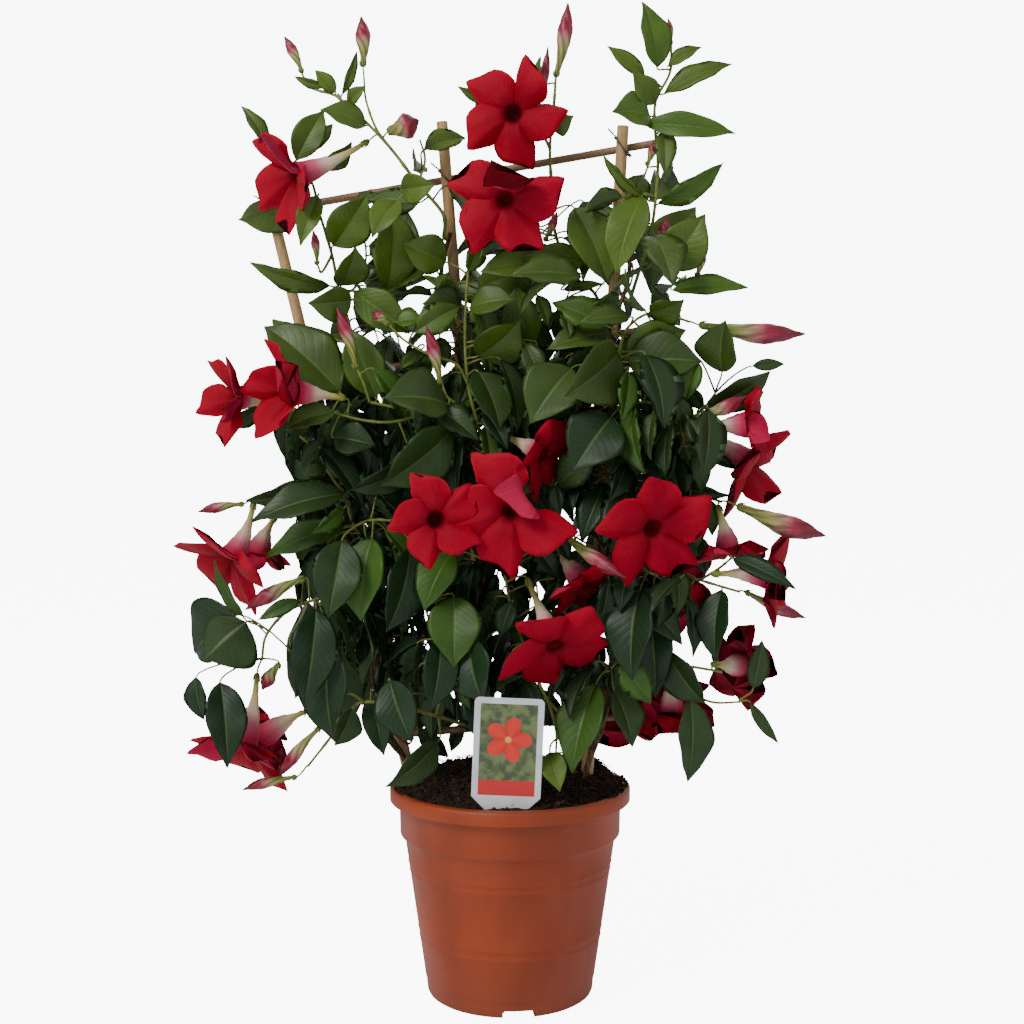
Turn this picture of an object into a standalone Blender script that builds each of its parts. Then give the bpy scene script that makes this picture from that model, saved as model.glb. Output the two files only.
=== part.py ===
# A climbing mandevilla on a bamboo trellis, standing in a round plastic pot with soil and a plant label.
# Metres, +Z up. Origin: centre of the flat underside of the pot. -Y is the side that the plant is shown from.
# Places on the plant are written as (u, v, near): u and v are pixels of a 1024 pixel view of it,
# and near is the distance in millimetres from the pot's axis towards that view.
import math
from collections import namedtuple

import bmesh
import bpy
from mathutils import Vector
from mathutils.bvhtree import BVHTree

MM = 0.001
GAP = 0.0003

# The view that places are read from
VIEW_POINT = Vector((0.0016, -1.25, 0.463))
VIEW_TARGET = Vector((0.0016, 0.0, 0.393))
VIEW_FOCAL = 1546.0
VIEW_CENTRE = 512.0

# Pot
LIP_RADIUS = 98.0 * MM
LIP_HEIGHT = 11.4 * MM
POT_HEIGHT = 171.0 * MM
BAND_RADIUS = 90.4 * MM
BAND_FOOT = 131.8 * MM
BODY_RADIUS = 85.6 * MM
BASE_RADIUS = 68.8 * MM
WALL = 1.6 * MM
FLOOR = 9.0 * MM
POT_STEPS = 24
CHANNELS = 3
CHANNEL_WIDTH = 25.0 * MM
CHANNEL_HEIGHT = 6.5 * MM
CHANNEL_START = 30.0 * MM
CHANNEL_TURN = math.radians(6.0)
DRAIN_RADIUS = 5.0 * MM
DRAIN_PLACE = 46.0 * MM

# Soil
SOIL_RISE = 12.0 * MM
SOIL_HUMP = 16.0 * MM
SOIL_COLUMNS = 20
SOIL_RINGS = 4

# Label
LABEL_WIDTH = 53.0 * MM
LABEL_HEIGHT = 88.0 * MM
LABEL_THICK = 0.9 * MM
LABEL_CORNER = 4.0 * MM
LABEL_CHAMFER = 10.0 * MM
STAKE_WIDTH = 30.0 * MM
STAKE_LENGTH = 36.0 * MM
LABEL_FOOT = (505, 814, 83.5)
LABEL_HEAD = (510, 698, 92)

# Trellis
CANE_RADIUS = 5.2 * MM
BAR_RADIUS = 3.3 * MM
CANE_TAPER = 0.12
CANE_FOOT = 62.0 * MM
SEAT = 0.75 * MM
TIE_WIRE = 0.7 * MM
TIE_POINTS = 8
TIE_SLANT = 1.5
TIE_SWELL = 1.07
TIE_SLACK = 1.3 * MM
VINE_RADIUS = 2.6 * MM
VINE_OFFSET = CANE_RADIUS + VINE_RADIUS + 3.8 * MM
VINE_SWING = 65.0
STEM_RADIUS = 1.5 * MM
STEM_GAP = 0.7 * MM
STEM_ROOM = 4.0 * MM
PETIOLE_RADIUS = 0.9 * MM

# Leaves and blooms
LEAF_THICK = 1.2 * MM
SMALL_WIDTH = 35
TINY_WIDTH = 18
LEAF_SHARES = (0.25, 0.6)
SMALL_SHARES = (0.45,)
PETAL_THICK = 1.0 * MM
THROAT = 10.5 * MM
THROAT_DEPTH = 13.0 * MM
LOBE_ANGLES = (-30.0, -4.0, 24.0)
LOBE_REACHES = (0.58, 0.95, 1.0)
PIXEL = 0.81 * MM
CLEARANCE = 0.25 * MM

Leaf = namedtuple("Leaf", "base tip near wide turn cup")
Bloom = namedtuple("Bloom", "calyx heart face wide spin lift lobes")
Bud = namedtuple("Bud", "root tip thick")


def leaf(base, tip, near, wide, turn=None, cup=0.16):
    return Leaf(base, tip, near, wide, turn, cup)


def bloom(calyx, heart, face, wide=56, spin=0, lift=-6, lobes=(0, 0, 0, 0, 0)):
    return Bloom(calyx, heart, face, wide, spin, lift, lobes)


def bud(root, tip, thick=11):
    return Bud(root, tip, thick)


# Canes: a low and a high place on each, from which its foot in the soil is worked out
CANES = {
    "cane_left": ((404, 751, -4), (266, 186, -50)),
    "cane_middle": ((493, 760, -3), (442, 122, -15)),
    "cane_right": ((588, 760, 15), (623, 126, 26)),
}
BARS = {
    "crossbar_lower": ((368, 740, -13), (641, 720, 26)),
    "crossbar_middle": ((306, 380, -44), (652, 328, 28)),
    "crossbar_top": ((243, 214, -58), (662, 140, 30)),
}

# Woody vines: the cane that each climbs, how often it swings across its front, and the share of it that it climbs
VINES = {
    "vine_left": ("cane_left", -2.5, 0.80),
    "vine_middle": ("cane_middle", -3.0, 0.86),
    "vine_right": ("cane_right", 3.0, 0.90),
}

# Leafy stems: the vine that each grows from, then its own run, then its side stems
STEMS = {
    "shoot_crown_left": (
        "vine_middle",
        [
            [(443, 214, 12), (418, 184, 18), (392, 150, 20), (366, 122, 20), (345, 104, 18), (338, 94, 16)],
            [(345, 104, 18), (334, 95, 14), (312, 88, 10), (302, 74, 8)],
            [(392, 150, 20), (376, 128, 26), (366, 100, 26), (364, 78, 26)],
            [(418, 184, 18), (425, 160, -14), (420, 140, -34)],
        ],
    ),
    "shoot_left_top": (
        "vine_left",
        [
            [(350, 384, -14), (350, 330, 2), (340, 296, 6), (332, 255, 2), (320, 215, -4), (308, 176, -8), (270, 150, -14)],
            [(332, 255, 2), (322, 272, 12), (318, 266, 14)],
            [(340, 296, 6), (356, 286, -30), (366, 258, -52), (362, 226, -60)],
        ],
    ),
    "shoot_left_middle": (
        "vine_middle",
        [
            [(452, 436, 12), (425, 414, 26), (398, 408, 32), (370, 402, 34)],
            [(425, 414, 26), (392, 422, 34), (362, 420, 34), (330, 412, 26), (300, 412, 20)],
            [(370, 402, 34), (364, 384, 40), (354, 362, 42)],
        ],
    ),
    "shoot_middle": (
        "vine_middle",
        [
            [(484, 452, 26), (478, 425, 38), (468, 384, 36), (465, 340, 30), (466, 300, 26), (468, 274, 22)],
            [(478, 425, 38), (462, 408, 44), (447, 396, 50), (440, 376, 52)],
            [(468, 384, 36), (456, 364, 40), (428, 354, 44), (404, 340, 44), (390, 326, 44)],
            [(478, 425, 38), (500, 419, -18), (512, 388, -46), (506, 344, -50)],
        ],
    ),
    "shoot_crown": (
        "vine_right",
        [
            [(598, 300, 8), (575, 276, 22), (556, 236, 22), (552, 190, 22), (550, 148, 24), (554, 104, 26), (556, 74, 26)],
            [(550, 148, 24), (536, 122, 4), (520, 100, -18), (496, 96, -26)],
            [(556, 236, 22), (540, 232, -20), (522, 214, -44)],
        ],
    ),
    "shoot_right_top": (
        "vine_right",
        [
            [(630, 300, 34), (642, 262, 42), (651, 230, 44), (655, 205, 44), (658, 165, 42), (655, 128, 38), (656, 100, 34), (670, 72, 30), (671, 40, 28)],
            [(651, 230, 44), (640, 224, 4), (640, 192, -24), (650, 160, -34)],
            [(642, 262, 42), (664, 272, 50), (688, 282, 54)],
        ],
    ),
    "shoot_right_upper": (
        "vine_right",
        [
            [(620, 440, 44), (620, 410, 48), (620, 380, 52), (620, 350, 50), (630, 325, 48), (656, 312, 50), (690, 322, 54)],
            [(620, 410, 48), (642, 402, 58), (668, 410, 64), (690, 420, 66)],
            [(690, 420, 66), (704, 408, 60), (716, 392, 50)],
            [(690, 420, 66), (684, 440, 56), (672, 462, 46)],
            [(620, 380, 52), (634, 372, 0), (646, 352, -30), (660, 330, -38)],
        ],
    ),
    "shoot_right": (
        "vine_right",
        [
            [(612, 476, 30), (650, 484, 34), (690, 492, 40), (722, 502, 44)],
            [(650, 484, 34), (664, 470, -4), (676, 440, -34)],
        ],
    ),
    "shoot_right_middle": (
        "vine_right",
        [
            [(606, 560, 30), (638, 566, 34), (672, 570, 44), (700, 580, 52), (740, 592, 58)],
            [(700, 580, 52), (718, 569, 59), (734, 556, 62)],
            [(638, 566, 34), (652, 574, -6), (668, 580, -34), (690, 590, -52)],
        ],
    ),
    "shoot_right_low": (
        "vine_right",
        [
            [(610, 668, 42), (622, 658, 40), (650, 656, 44), (676, 664, 50), (700, 668, 52), (722, 672, 48)],
            [(676, 664, 50), (688, 690, 56), (712, 702, 54), (740, 702, 50)],
            [(622, 658, 40), (636, 670, 0), (650, 676, -34), (664, 690, -50)],
        ],
    ),
    "shoot_left": (
        "vine_left",
        [
            [(368, 540, 4), (354, 526, 20), (346, 500, 24), (330, 474, 22), (318, 452, 18), (300, 436, 14)],
            [(346, 500, 24), (300, 486, 24), (268, 492, 20), (254, 498, 16)],
            [(354, 526, 20), (372, 520, 40), (396, 521, 60)],
            [(346, 500, 24), (338, 500, -14), (322, 490, -40), (300, 480, -62)],
        ],
    ),
    "shoot_left_low": (
        "vine_left",
        [
            [(368, 590, 6), (338, 594, 18), (308, 602, 22), (284, 614, 22), (266, 636, 20), (262, 660, 16)],
            [(308, 602, 22), (300, 620, -16), (290, 640, -44), (300, 668, -58)],
        ],
    ),
    "shoot_low": (
        "vine_middle",
        [
            [(474, 728, 16), (436, 716, 34), (399, 706, 42), (364, 702, 44), (349, 711, 43), (330, 738, 36), (308, 766, 30)],
            [(364, 702, 44), (348, 693, 47), (326, 702, 36), (306, 710, 28)],
            [(436, 716, 34), (442, 688, 46), (436, 648, 50), (424, 602, 44)],
            [(399, 706, 42), (406, 690, 0), (416, 664, -34), (434, 630, -50)],
        ],
    ),
    "shoot_low_right": (
        "vine_right",
        [
            [(572, 722, 30), (548, 700, 42), (530, 660, 48), (512, 610, 46), (504, 570, 40)],
            [(548, 700, 42), (556, 730, 44), (556, 752, 42)],
            [(548, 700, 42), (536, 690, -10), (520, 660, -44), (540, 600, -60)],
        ],
    ),
}

# Blooms: the root of the tube, the middle of the mouth, and where the mouth faces as (right, up, near)
BLOOMS = {
    "bloom_crown_left": bloom((368, 141, 18), (292, 176, 14), (-0.82, -0.28, 0.5), 62, 20, 30, (-6, 6, 0, -12, 10)),
    "bloom_crown": bloom((534, 130, 6), (512, 112, 50), (-0.15, 0.05, 0.95), 52, 32, -10, (10, 14, -6, 14, 10)),
    "bloom_middle_top": bloom((538, 226, 22), (505, 200, 62), (-0.1, -0.1, 0.95), 56, -22, -8, (10, 0, 0, 10, 0)),
    "bloom_left_upper": bloom((345, 398, 40), (290, 392, 54), (-0.8, 0.05, 0.55), 58, -10, 26, (0, 8, 10, 6, 0)),
    "bloom_left_outer": bloom((272, 406, 18), (234, 398, 28), (-0.82, 0.02, 0.5), 52, 16, 30, (0, 10, 0, 8, 0)),
    "bloom_left": bloom((254, 502, 16), (228, 560, 24), (-0.6, -0.7, 0.35), 62, 24, 12, (16, 0, 10, 0, 0)),
    "bloom_left_behind": bloom((276, 516, -8), (258, 556, -10), (-0.2, -0.9, -0.1), 40, 0, 30, (0, 0, 0, 0, 0)),
    "bloom_low_left": bloom((257, 674, 14), (243, 748, 22), (-0.3, -0.9, 0.3), 64, 30, 18, (14, 0, 10, 0, 0)),
    "bloom_low_left_behind": bloom((305, 712, 24), (262, 738, -8), (-0.6, -0.5, -0.4), 44, 0, 16, (0, 0, 0, 0, 0)),
    "bloom_front_left": bloom((398, 521, 62), (436, 520, 98), (0.1, 0.05, 0.98), 46, 4, 4, (0, 12, 10, 10, 0)),
    "bloom_front": bloom((504, 546, 44), (512, 510, 92), (-0.05, 0.12, 0.95), 62, 12, -8, (10, 10, 0, 10, 16)),
    "bloom_front_top": bloom((502, 434, 46), (548, 456, 70), (0.75, -0.35, 0.5), 46, 10, 10, (10, 0, 0, 0, 0)),
    "bloom_front_right": bloom((596, 492, 44), (655, 530, 84), (0.34, -0.25, 0.88), 58, -6, 0, (10, 0, 0, 10, 0)),
    "bloom_front_low": bloom((527, 579, 52), (556, 650, 84), (0.22, -0.6, 0.7), 60, 26, 0, (0, 10, 0, 0, 10)),
    "bloom_front_inner": bloom((550, 545, 42), (586, 590, 62), (0.45, -0.75, 0.35), 44, 10, 6, (0, 0, 10, 0, 0)),
    "bloom_right_upper": bloom((704, 423, 68), (752, 424, 74), (0.95, 0.1, 0.2), 44, 20, 30, (0, 10, 0, 0, 0)),
    "bloom_right_upper_low": bloom((704, 428, 62), (752, 464, 60), (0.82, -0.5, 0.25), 60, 6, 16, (16, 0, 0, 10, 0)),
    "bloom_right": bloom((718, 506, 42), (728, 556, 44), (0.05, -0.95, 0.2), 44, 12, 10, (0, 10, 0, 0, 0)),
    "bloom_right_middle": bloom((712, 574, 56), (772, 576, 60), (0.95, -0.1, 0.2), 52, 14, 24, (0, 10, 0, 10, 0)),
    "bloom_right_low": bloom((712, 664, 48), (744, 664, 20), (0.6, 0.0, -0.6), 44, 0, 0, (0, 0, 0, 0, 0)),
    "bloom_low_right": bloom((668, 674, 44), (672, 712, 24), (0.1, -0.7, -0.5), 46, 0, -6, (0, 0, 0, 0, 0)),
    "bloom_low_right_inner": bloom((630, 676, 8), (626, 724, -12), (0.0, -0.8, -0.5), 48, 20, -6, (0, 0, 0, 0, 0)),
    "bloom_back_top": bloom((516, 392, -58), (544, 412, -104), (0.2, -0.1, -0.95), 46, 16, -8, (0, 10, 0, 0, 0)),
    "bloom_back_middle": bloom((442, 560, -64), (440, 560, -112), (-0.1, 0.0, -0.95), 56, 8, -8, (0, 10, 0, 0, 0)),
    "bloom_back_right": bloom((676, 584, -58), (670, 592, -104), (0.2, -0.1, -0.9), 54, 30, -8, (0, 10, 0, 0, 0)),
}

# Buds: root and pointed tip
BUDS = [
    bud((302, 72, 8), (284, 36, 6), 11),
    bud((363, 66, 26), (361, 16, 26), 15),
    bud((388, 132, 24), (419, 120, 26), 25),
    bud((556, 76, 26), (568, 2, 26), 15),
    bud((534, 118, 10), (548, 46, 8), 10),
    bud((480, 132, -24), (477, 92, -28), 9),
    bud((545, 240, 28), (557, 212, 34), 9),
    bud((647, 165, 50), (655, 140, 54), 9),
    bud((657, 252, 48), (667, 216, 50), 12),
    bud((697, 276, 54), (703, 248, 56), 10),
    bud((317, 264, 14), (313, 230, 14), 9),
    bud((356, 368, 42), (336, 306, 44), 13),
    bud((388, 324, 44), (372, 312, 44), 11),
    bud((440, 384, 52), (426, 326, 56), 13),
    bud((700, 325, 54), (806, 334, 54), 20),
    bud((696, 418, 70), (748, 396, 78), 14),
    bud((738, 506, 46), (826, 536, 48), 22),
    bud((746, 592, 60), (806, 618, 62), 13),
    bud((243, 504, 14), (198, 512, 14), 11),
    bud((304, 578, 30), (245, 610, 34), 16),
    bud((279, 664, 12), (262, 690, 10), 15),
    bud((319, 728, 36), (278, 778, 32), 13),
    bud((296, 777, 30), (242, 790, 30), 11),
    bud((562, 532, 62), (626, 578, 92), 15),
    bud((671, 44, 28), (668, 18, 28), 7),
]

# Leaves: root and tip as (u, v), near at the root and at the tip, and width in pixels
LEAVES = [
    leaf((342, 95), (357, 50), (18, 20), 10),
    leaf((336, 93), (315, 70), (14, 16), 16),
    leaf((326, 86), (294, 76), (12, 10), 10),
    leaf((366, 126), (320, 110), (22, 34), 24),
    leaf((348, 104), (366, 86), (22, 30), 14),
    leaf((402, 190), (436, 184), (26, 46), 30),
    leaf((398, 200), (372, 238), (26, 42), 28),
    leaf((424, 150), (466, 138), (10, -6), 22),
    leaf((268, 147), (241, 106), (-16, -20), 16),
    leaf((296, 160), (324, 110), (-14, -22), 32),
    leaf((310, 152), (333, 124), (-24, -34), 18),
    leaf((322, 168), (352, 142), (2, 16), 20),
    leaf((302, 196), (238, 220), (-26, -40), 40),
    leaf((318, 196), (300, 246), (14, 30), 24),
    leaf((333, 246), (367, 194), (12, 22), 44),
    leaf((330, 286), (250, 262), (18, 32), 22),
    leaf((341, 286), (355, 246), (24, 40), 32),
    leaf((352, 300), (308, 303), (32, 60), 34),
    leaf((354, 292), (410, 334), (26, 38), 38),
    leaf((387, 290), (391, 206), (6, 10), 46),
    leaf((396, 322), (424, 320), (34, 36), 20),
    leaf((340, 392), (264, 326), (24, 8), 56),
    leaf((376, 398), (350, 328), (18, 12), 42),
    leaf((330, 336), (350, 332), (-20, -24), 24),
    leaf((335, 412), (284, 430), (40, 54), 24),
    leaf((262, 404), (228, 428), (4, 2), 18),
    leaf((446, 262), (402, 244), (8, 22), 40),
    leaf((462, 308), (422, 304), (16, 26), 34),
    leaf((470, 308), (516, 300), (30, 44), 28),
    leaf((468, 272), (478, 234), (22, 24), 20),
    leaf((478, 288), (540, 268), (14, 2), 44),
    leaf((530, 344), (516, 284), (14, 26), 40),
    leaf((478, 356), (520, 320), (38, 52), 46),
    leaf((478, 372), (500, 430), (46, 62), 44),
    leaf((572, 368), (530, 424), (62, 78), 56),
    leaf((612, 416), (572, 472), (70, 90), 58),
    leaf((618, 352), (564, 396), (54, 74), 56),
    leaf((612, 334), (546, 350), (44, 54), 26),
    leaf((628, 362), (702, 362), (56, 66), 50),
    leaf((626, 352), (686, 330), (50, 50), 40),
    leaf((622, 412), (640, 480), (40, 56), 62),
    leaf((722, 372), (726, 320), (58, 60), 40),
    leaf((706, 408), (771, 371), (58, 56), 28),
    leaf((752, 366), (785, 364), (50, 50), 12),
    leaf((704, 408), (688, 386), (50, 44), 16),
    leaf((657, 68), (642, 2), (30, 24), 28),
    leaf((668, 66), (702, 47), (34, 38), 14),
    leaf((645, 76), (607, 46), (34, 38), 16),
    leaf((655, 104), (632, 72), (40, 52), 24),
    leaf((664, 94), (733, 64), (36, 44), 20),
    leaf((650, 116), (612, 112), (44, 60), 32),
    leaf((644, 124), (737, 134), (46, 62), 24),
    leaf((664, 131), (665, 176), (48, 62), 22),
    leaf((658, 204), (724, 162), (50, 62), 22),
    leaf((648, 200), (602, 153), (48, 56), 12),
    leaf((642, 196), (616, 276), (52, 66), 40),
    leaf((668, 270), (705, 214), (52, 64), 46),
    leaf((672, 290), (748, 288), (56, 62), 20),
    leaf((650, 312), (684, 300), (54, 68), 26),
    leaf((574, 208), (608, 286), (30, 40), 48),
    leaf((584, 262), (524, 256), (28, 36), 32),
    leaf((540, 262), (480, 272), (24, 34), 30),
    leaf((538, 84), (541, 56), (18, 14), 8),
    leaf((548, 120), (574, 116), (30, 46), 26),
    leaf((492, 104), (457, 86), (-26, -32), 12),
    leaf((562, 290), (606, 284), (16, 22), 10),
    leaf((345, 494), (252, 522), (26, 40), 34),
    leaf((334, 478), (246, 500), (20, 26), 30),
    leaf((322, 440), (302, 468), (18, 24), 18),
    leaf((326, 466), (302, 476), (30, 40), 14),
    leaf((344, 508), (312, 533), (34, 50), 18),
    leaf((344, 528), (266, 558), (14, 8), 28),
    leaf((334, 438), (376, 446), (26, 34), 34),
    leaf((342, 540), (328, 618), (56, 74), 48),
    leaf((372, 538), (361, 621), (44, 58), 46),
    leaf((410, 548), (386, 632), (50, 62), 44),
    leaf((452, 552), (424, 611), (44, 64), 38),
    leaf((454, 596), (454, 668), (52, 72), 52),
    leaf((452, 430), (380, 486), (50, 74), 50),
    leaf((448, 404), (384, 398), (52, 70), 46),
    leaf((410, 466), (350, 490), (30, 44), 26),
    leaf((300, 600), (258, 620), (28, 36), 16),
    leaf((246, 622), (204, 660), (26, 34), 64, 20, -0.3),
    leaf((244, 618), (214, 560), (30, 44), 12),
    leaf((196, 677), (204, 720), (20, 22), 22),
    leaf((220, 682), (227, 768), (28, 40), 40),
    leaf((316, 608), (304, 706), (36, 52), 46),
    leaf((330, 640), (334, 742), (22, 32), 50),
    leaf((352, 708), (334, 746), (50, 56), 26),
    leaf((390, 680), (412, 742), (54, 66), 42),
    leaf((372, 690), (384, 756), (28, 30), 28),
    leaf((438, 742), (386, 787), (46, 78), 30),
    leaf((470, 640), (484, 704), (62, 80), 46),
    leaf((440, 640), (430, 712), (64, 70), 36),
    leaf((550, 752), (560, 792), (70, 92), 26),
    leaf((596, 684), (572, 773), (62, 86), 44),
    leaf((614, 690), (632, 747), (50, 62), 30),
    leaf((640, 590), (632, 680), (62, 80), 46),
    leaf((650, 610), (656, 698), (46, 58), 36),
    leaf((630, 588), (682, 645), (48, 58), 34),
    leaf((668, 652), (706, 704), (54, 62), 34),
    leaf((690, 700), (687, 782), (60, 72), 34),
    leaf((753, 689), (762, 640), (50, 46), 22),
    leaf((750, 702), (779, 744), (50, 56), 12),
    leaf((688, 596), (693, 657), (54, 58), 18),
    leaf((722, 590), (716, 661), (56, 62), 32),
    leaf((732, 558), (796, 589), (60, 66), 20),
    leaf((697, 448), (738, 470), (46, 40), 12),
    leaf((668, 482), (730, 495), (38, 46), 18),
    leaf((704, 498), (712, 536), (38, 42), 18),
    leaf((676, 458), (690, 474), (46, 48), 12),
]

# Leaves on the far side: each wide leaf has a partner behind the trellis, shifted by these pixels
BACK_LEAST_WIDTH = 46
BACK_SHIFT = (9, -7)
BACK_DEPTH = 34

# Steps towards and away from the view that a leaf or a bloom may take to clear its neighbours, root and tip, in mm
STEPS = [
    (0, 0), (0, 10), (0, -10), (8, 8), (-8, -8), (8, 20), (-8, -20), (16, 16), (-16, -16), (4, 28), (-4, -28),
    (16, 30), (-16, -30), (26, 26), (-26, -26), (26, 44), (-26, -44), (36, 36), (-36, -36), (48, 48), (-48, -48),
]


def seen(u, v, near):
    # The point of space that shows at pixel u, v, at this distance in mm towards the view
    forward = (VIEW_TARGET - VIEW_POINT).normalized()
    up = Vector((1, 0, 0)).cross(forward)
    across = (u - VIEW_CENTRE) / VIEW_FOCAL
    down = (v - VIEW_CENTRE) / VIEW_FOCAL
    ray = forward + Vector((across, 0, 0)) - up * down
    return VIEW_POINT + ray * ((-near * MM - VIEW_POINT.y) / ray.y)


def material(name, colour, roughness, metallic=0.0):
    made = bpy.data.materials.new(name)
    made.use_nodes = True
    shader = made.node_tree.nodes["Principled BSDF"]
    shader.inputs["Base Color"].default_value = (*colour, 1.0)
    shader.inputs["Roughness"].default_value = roughness
    shader.inputs["Metallic"].default_value = metallic
    return made


def add_object(name, mesh, collection, finish=None):
    made = bpy.data.objects.new(name, mesh)
    collection.objects.link(made)
    if finish:
        mesh.materials.clear()
        mesh.materials.append(finish)
    return made


def mesh_from(bm, name):
    mesh = bpy.data.meshes.new(name)
    bm.to_mesh(mesh)
    bm.free()
    return mesh


def smooth_run(points, count):
    # Catmull-Rom points along hand-placed ones
    ends = [points[0] * 2 - points[1], *points, points[-1] * 2 - points[-2]]
    found = []
    for index in range(count):
        place = index / (count - 1) * (len(points) - 1)
        first = min(int(place), len(points) - 2)
        t = place - first
        a, b, c, d = ends[first:first + 4]
        curved = (b * 2 + (c - a) * t + (a * 2 - b * 5 + c * 4 - d) * t * t + (b * 3 - a - c * 3 + d) * t ** 3) / 2
        found.append(curved)
    return found


def tube_mesh(name, points, radii, resolution=0, cyclic=False):
    # A curve with round section and filled ends, turned into a closed mesh
    curve = bpy.data.curves.new(name, "CURVE")
    curve.dimensions = "3D"
    curve.bevel_depth = 1.0
    curve.bevel_resolution = resolution
    curve.use_fill_caps = True
    spline = curve.splines.new("POLY")
    spline.points.add(len(points) - 1)
    spline.use_cyclic_u = cyclic
    for knot, place, radius in zip(spline.points, points, radii):
        knot.co = (*place, 1.0)
        knot.radius = radius
    holder = bpy.data.objects.new(name, curve)
    bpy.context.scene.collection.objects.link(holder)
    evaluated = holder.evaluated_get(bpy.context.evaluated_depsgraph_get())
    mesh = bpy.data.meshes.new_from_object(evaluated)
    bpy.data.objects.remove(holder)
    bpy.data.curves.remove(curve)
    bm = bmesh.new()
    bm.from_mesh(mesh)
    bmesh.ops.remove_doubles(bm, verts=bm.verts, dist=0.00001)
    bmesh.ops.recalc_face_normals(bm, faces=bm.faces)
    bmesh.ops.triangulate(bm, faces=bm.faces)
    bm.to_mesh(mesh)
    bm.free()
    return mesh


def tree_of(mesh):
    corners = [vertex.co.copy() for vertex in mesh.vertices]
    faces = [tuple(polygon.vertices) for polygon in mesh.polygons]
    return BVHTree.FromPolygons(corners, faces, epsilon=CLEARANCE)


def clears(tree, others):
    return not any(tree.overlap(other) for other in others)


def cut(target, cutter):
    modifier = target.modifiers.new("cut", "BOOLEAN")
    modifier.operation = "DIFFERENCE"
    modifier.object = cutter


def applied(target):
    # The object's mesh with its modifiers built in
    evaluated = target.evaluated_get(bpy.context.evaluated_depsgraph_get())
    mesh = bpy.data.meshes.new_from_object(evaluated)
    target.modifiers.clear()
    target.data = mesh
    return mesh


def turned(name, profile, steps, collection, finish):
    # A profile of (radius, height) turned round the Z axis
    mesh = bpy.data.meshes.new(name)
    corners = [(radius, 0.0, height) for radius, height in profile]
    mesh.from_pydata(corners, [(i, i + 1) for i in range(len(corners) - 1)], [])
    made = add_object(name, mesh, collection, finish)
    screw = made.modifiers.new("turn", "SCREW")
    screw.steps = steps
    screw.render_steps = steps
    screw.use_merge_vertices = True
    screw.merge_threshold = 0.00001
    screw.use_normal_calculate = True
    return made


def build_pot(collection, cutters, finish):
    lip_bottom = POT_HEIGHT - LIP_HEIGHT
    profile = [
        (BAND_RADIUS + 0.6 * MM, POT_HEIGHT),
        (LIP_RADIUS - 2 * MM, POT_HEIGHT),
        (LIP_RADIUS, POT_HEIGHT - 2.4 * MM),
        (LIP_RADIUS, lip_bottom),
        (LIP_RADIUS - WALL, lip_bottom),
        (LIP_RADIUS - WALL, POT_HEIGHT - 3 * MM),
        (BAND_RADIUS, POT_HEIGHT - 3 * MM),
        (BAND_RADIUS - 0.8 * MM, BAND_FOOT),
        (BODY_RADIUS, BAND_FOOT - 3.4 * MM),
        (BASE_RADIUS, 11 * MM),
        (BASE_RADIUS - 0.8 * MM, 4 * MM),
        (BASE_RADIUS - 4.2 * MM, 0.0),
        (0.0, 0.0),
        (0.0, FLOOR),
        (BASE_RADIUS - 5 * MM, FLOOR),
        (BASE_RADIUS - WALL, FLOOR + 4 * MM),
        (BODY_RADIUS - WALL, BAND_FOOT - 3 * MM),
        (BAND_RADIUS - 0.8 * MM - WALL, BAND_FOOT + 1 * MM),
        (BAND_RADIUS - WALL, POT_HEIGHT - 2.4 * MM),
        (BAND_RADIUS + 0.6 * MM, POT_HEIGHT),
    ]
    pot = turned("pot", profile, POT_STEPS, collection, finish)
    reach = BASE_RADIUS + 6 * MM
    for index in range(CHANNELS):
        angle = CHANNEL_TURN + math.radians(-90.0 + 360.0 / CHANNELS * index)
        bm = bmesh.new()
        bmesh.ops.create_cube(bm, size=1.0)
        bmesh.ops.scale(bm, vec=(reach - CHANNEL_START, CHANNEL_WIDTH, CHANNEL_HEIGHT * 2), verts=bm.verts)
        channel = add_object(f"channel_{index}", mesh_from(bm, "channel"), cutters)
        middle = (reach + CHANNEL_START) / 2
        channel.location = (middle * math.cos(angle), middle * math.sin(angle), 0.0)
        channel.rotation_euler = (0.0, 0.0, angle)
        cut(pot, channel)
        bm = bmesh.new()
        bmesh.ops.create_cone(bm, cap_ends=True, segments=8, radius1=DRAIN_RADIUS, radius2=DRAIN_RADIUS, depth=FLOOR)
        drain = add_object(f"drain_{index}", mesh_from(bm, "drain"), cutters)
        drain.location = (DRAIN_PLACE * math.cos(angle), DRAIN_PLACE * math.sin(angle), FLOOR)
        cut(pot, drain)
    return pot


def soil_height(x, y):
    # Mounded peat with a hump to the right and a lower one to the left
    radius = math.hypot(x, y) / BAND_RADIUS
    hump = math.exp(-((x - 0.066) ** 2 + (y - 0.01) ** 2) / 0.0011)
    left = 0.5 * math.exp(-((x + 0.058) ** 2 + (y + 0.02) ** 2) / 0.0009)
    bumps = 0.0012 * math.sin(x * 210 + 1.0) * math.sin(y * 190 + 0.4)
    return POT_HEIGHT - 4 * MM + (SOIL_RISE + SOIL_HUMP * (hump + left)) * max(0.0, 1 - radius ** 6) + bumps


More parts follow.
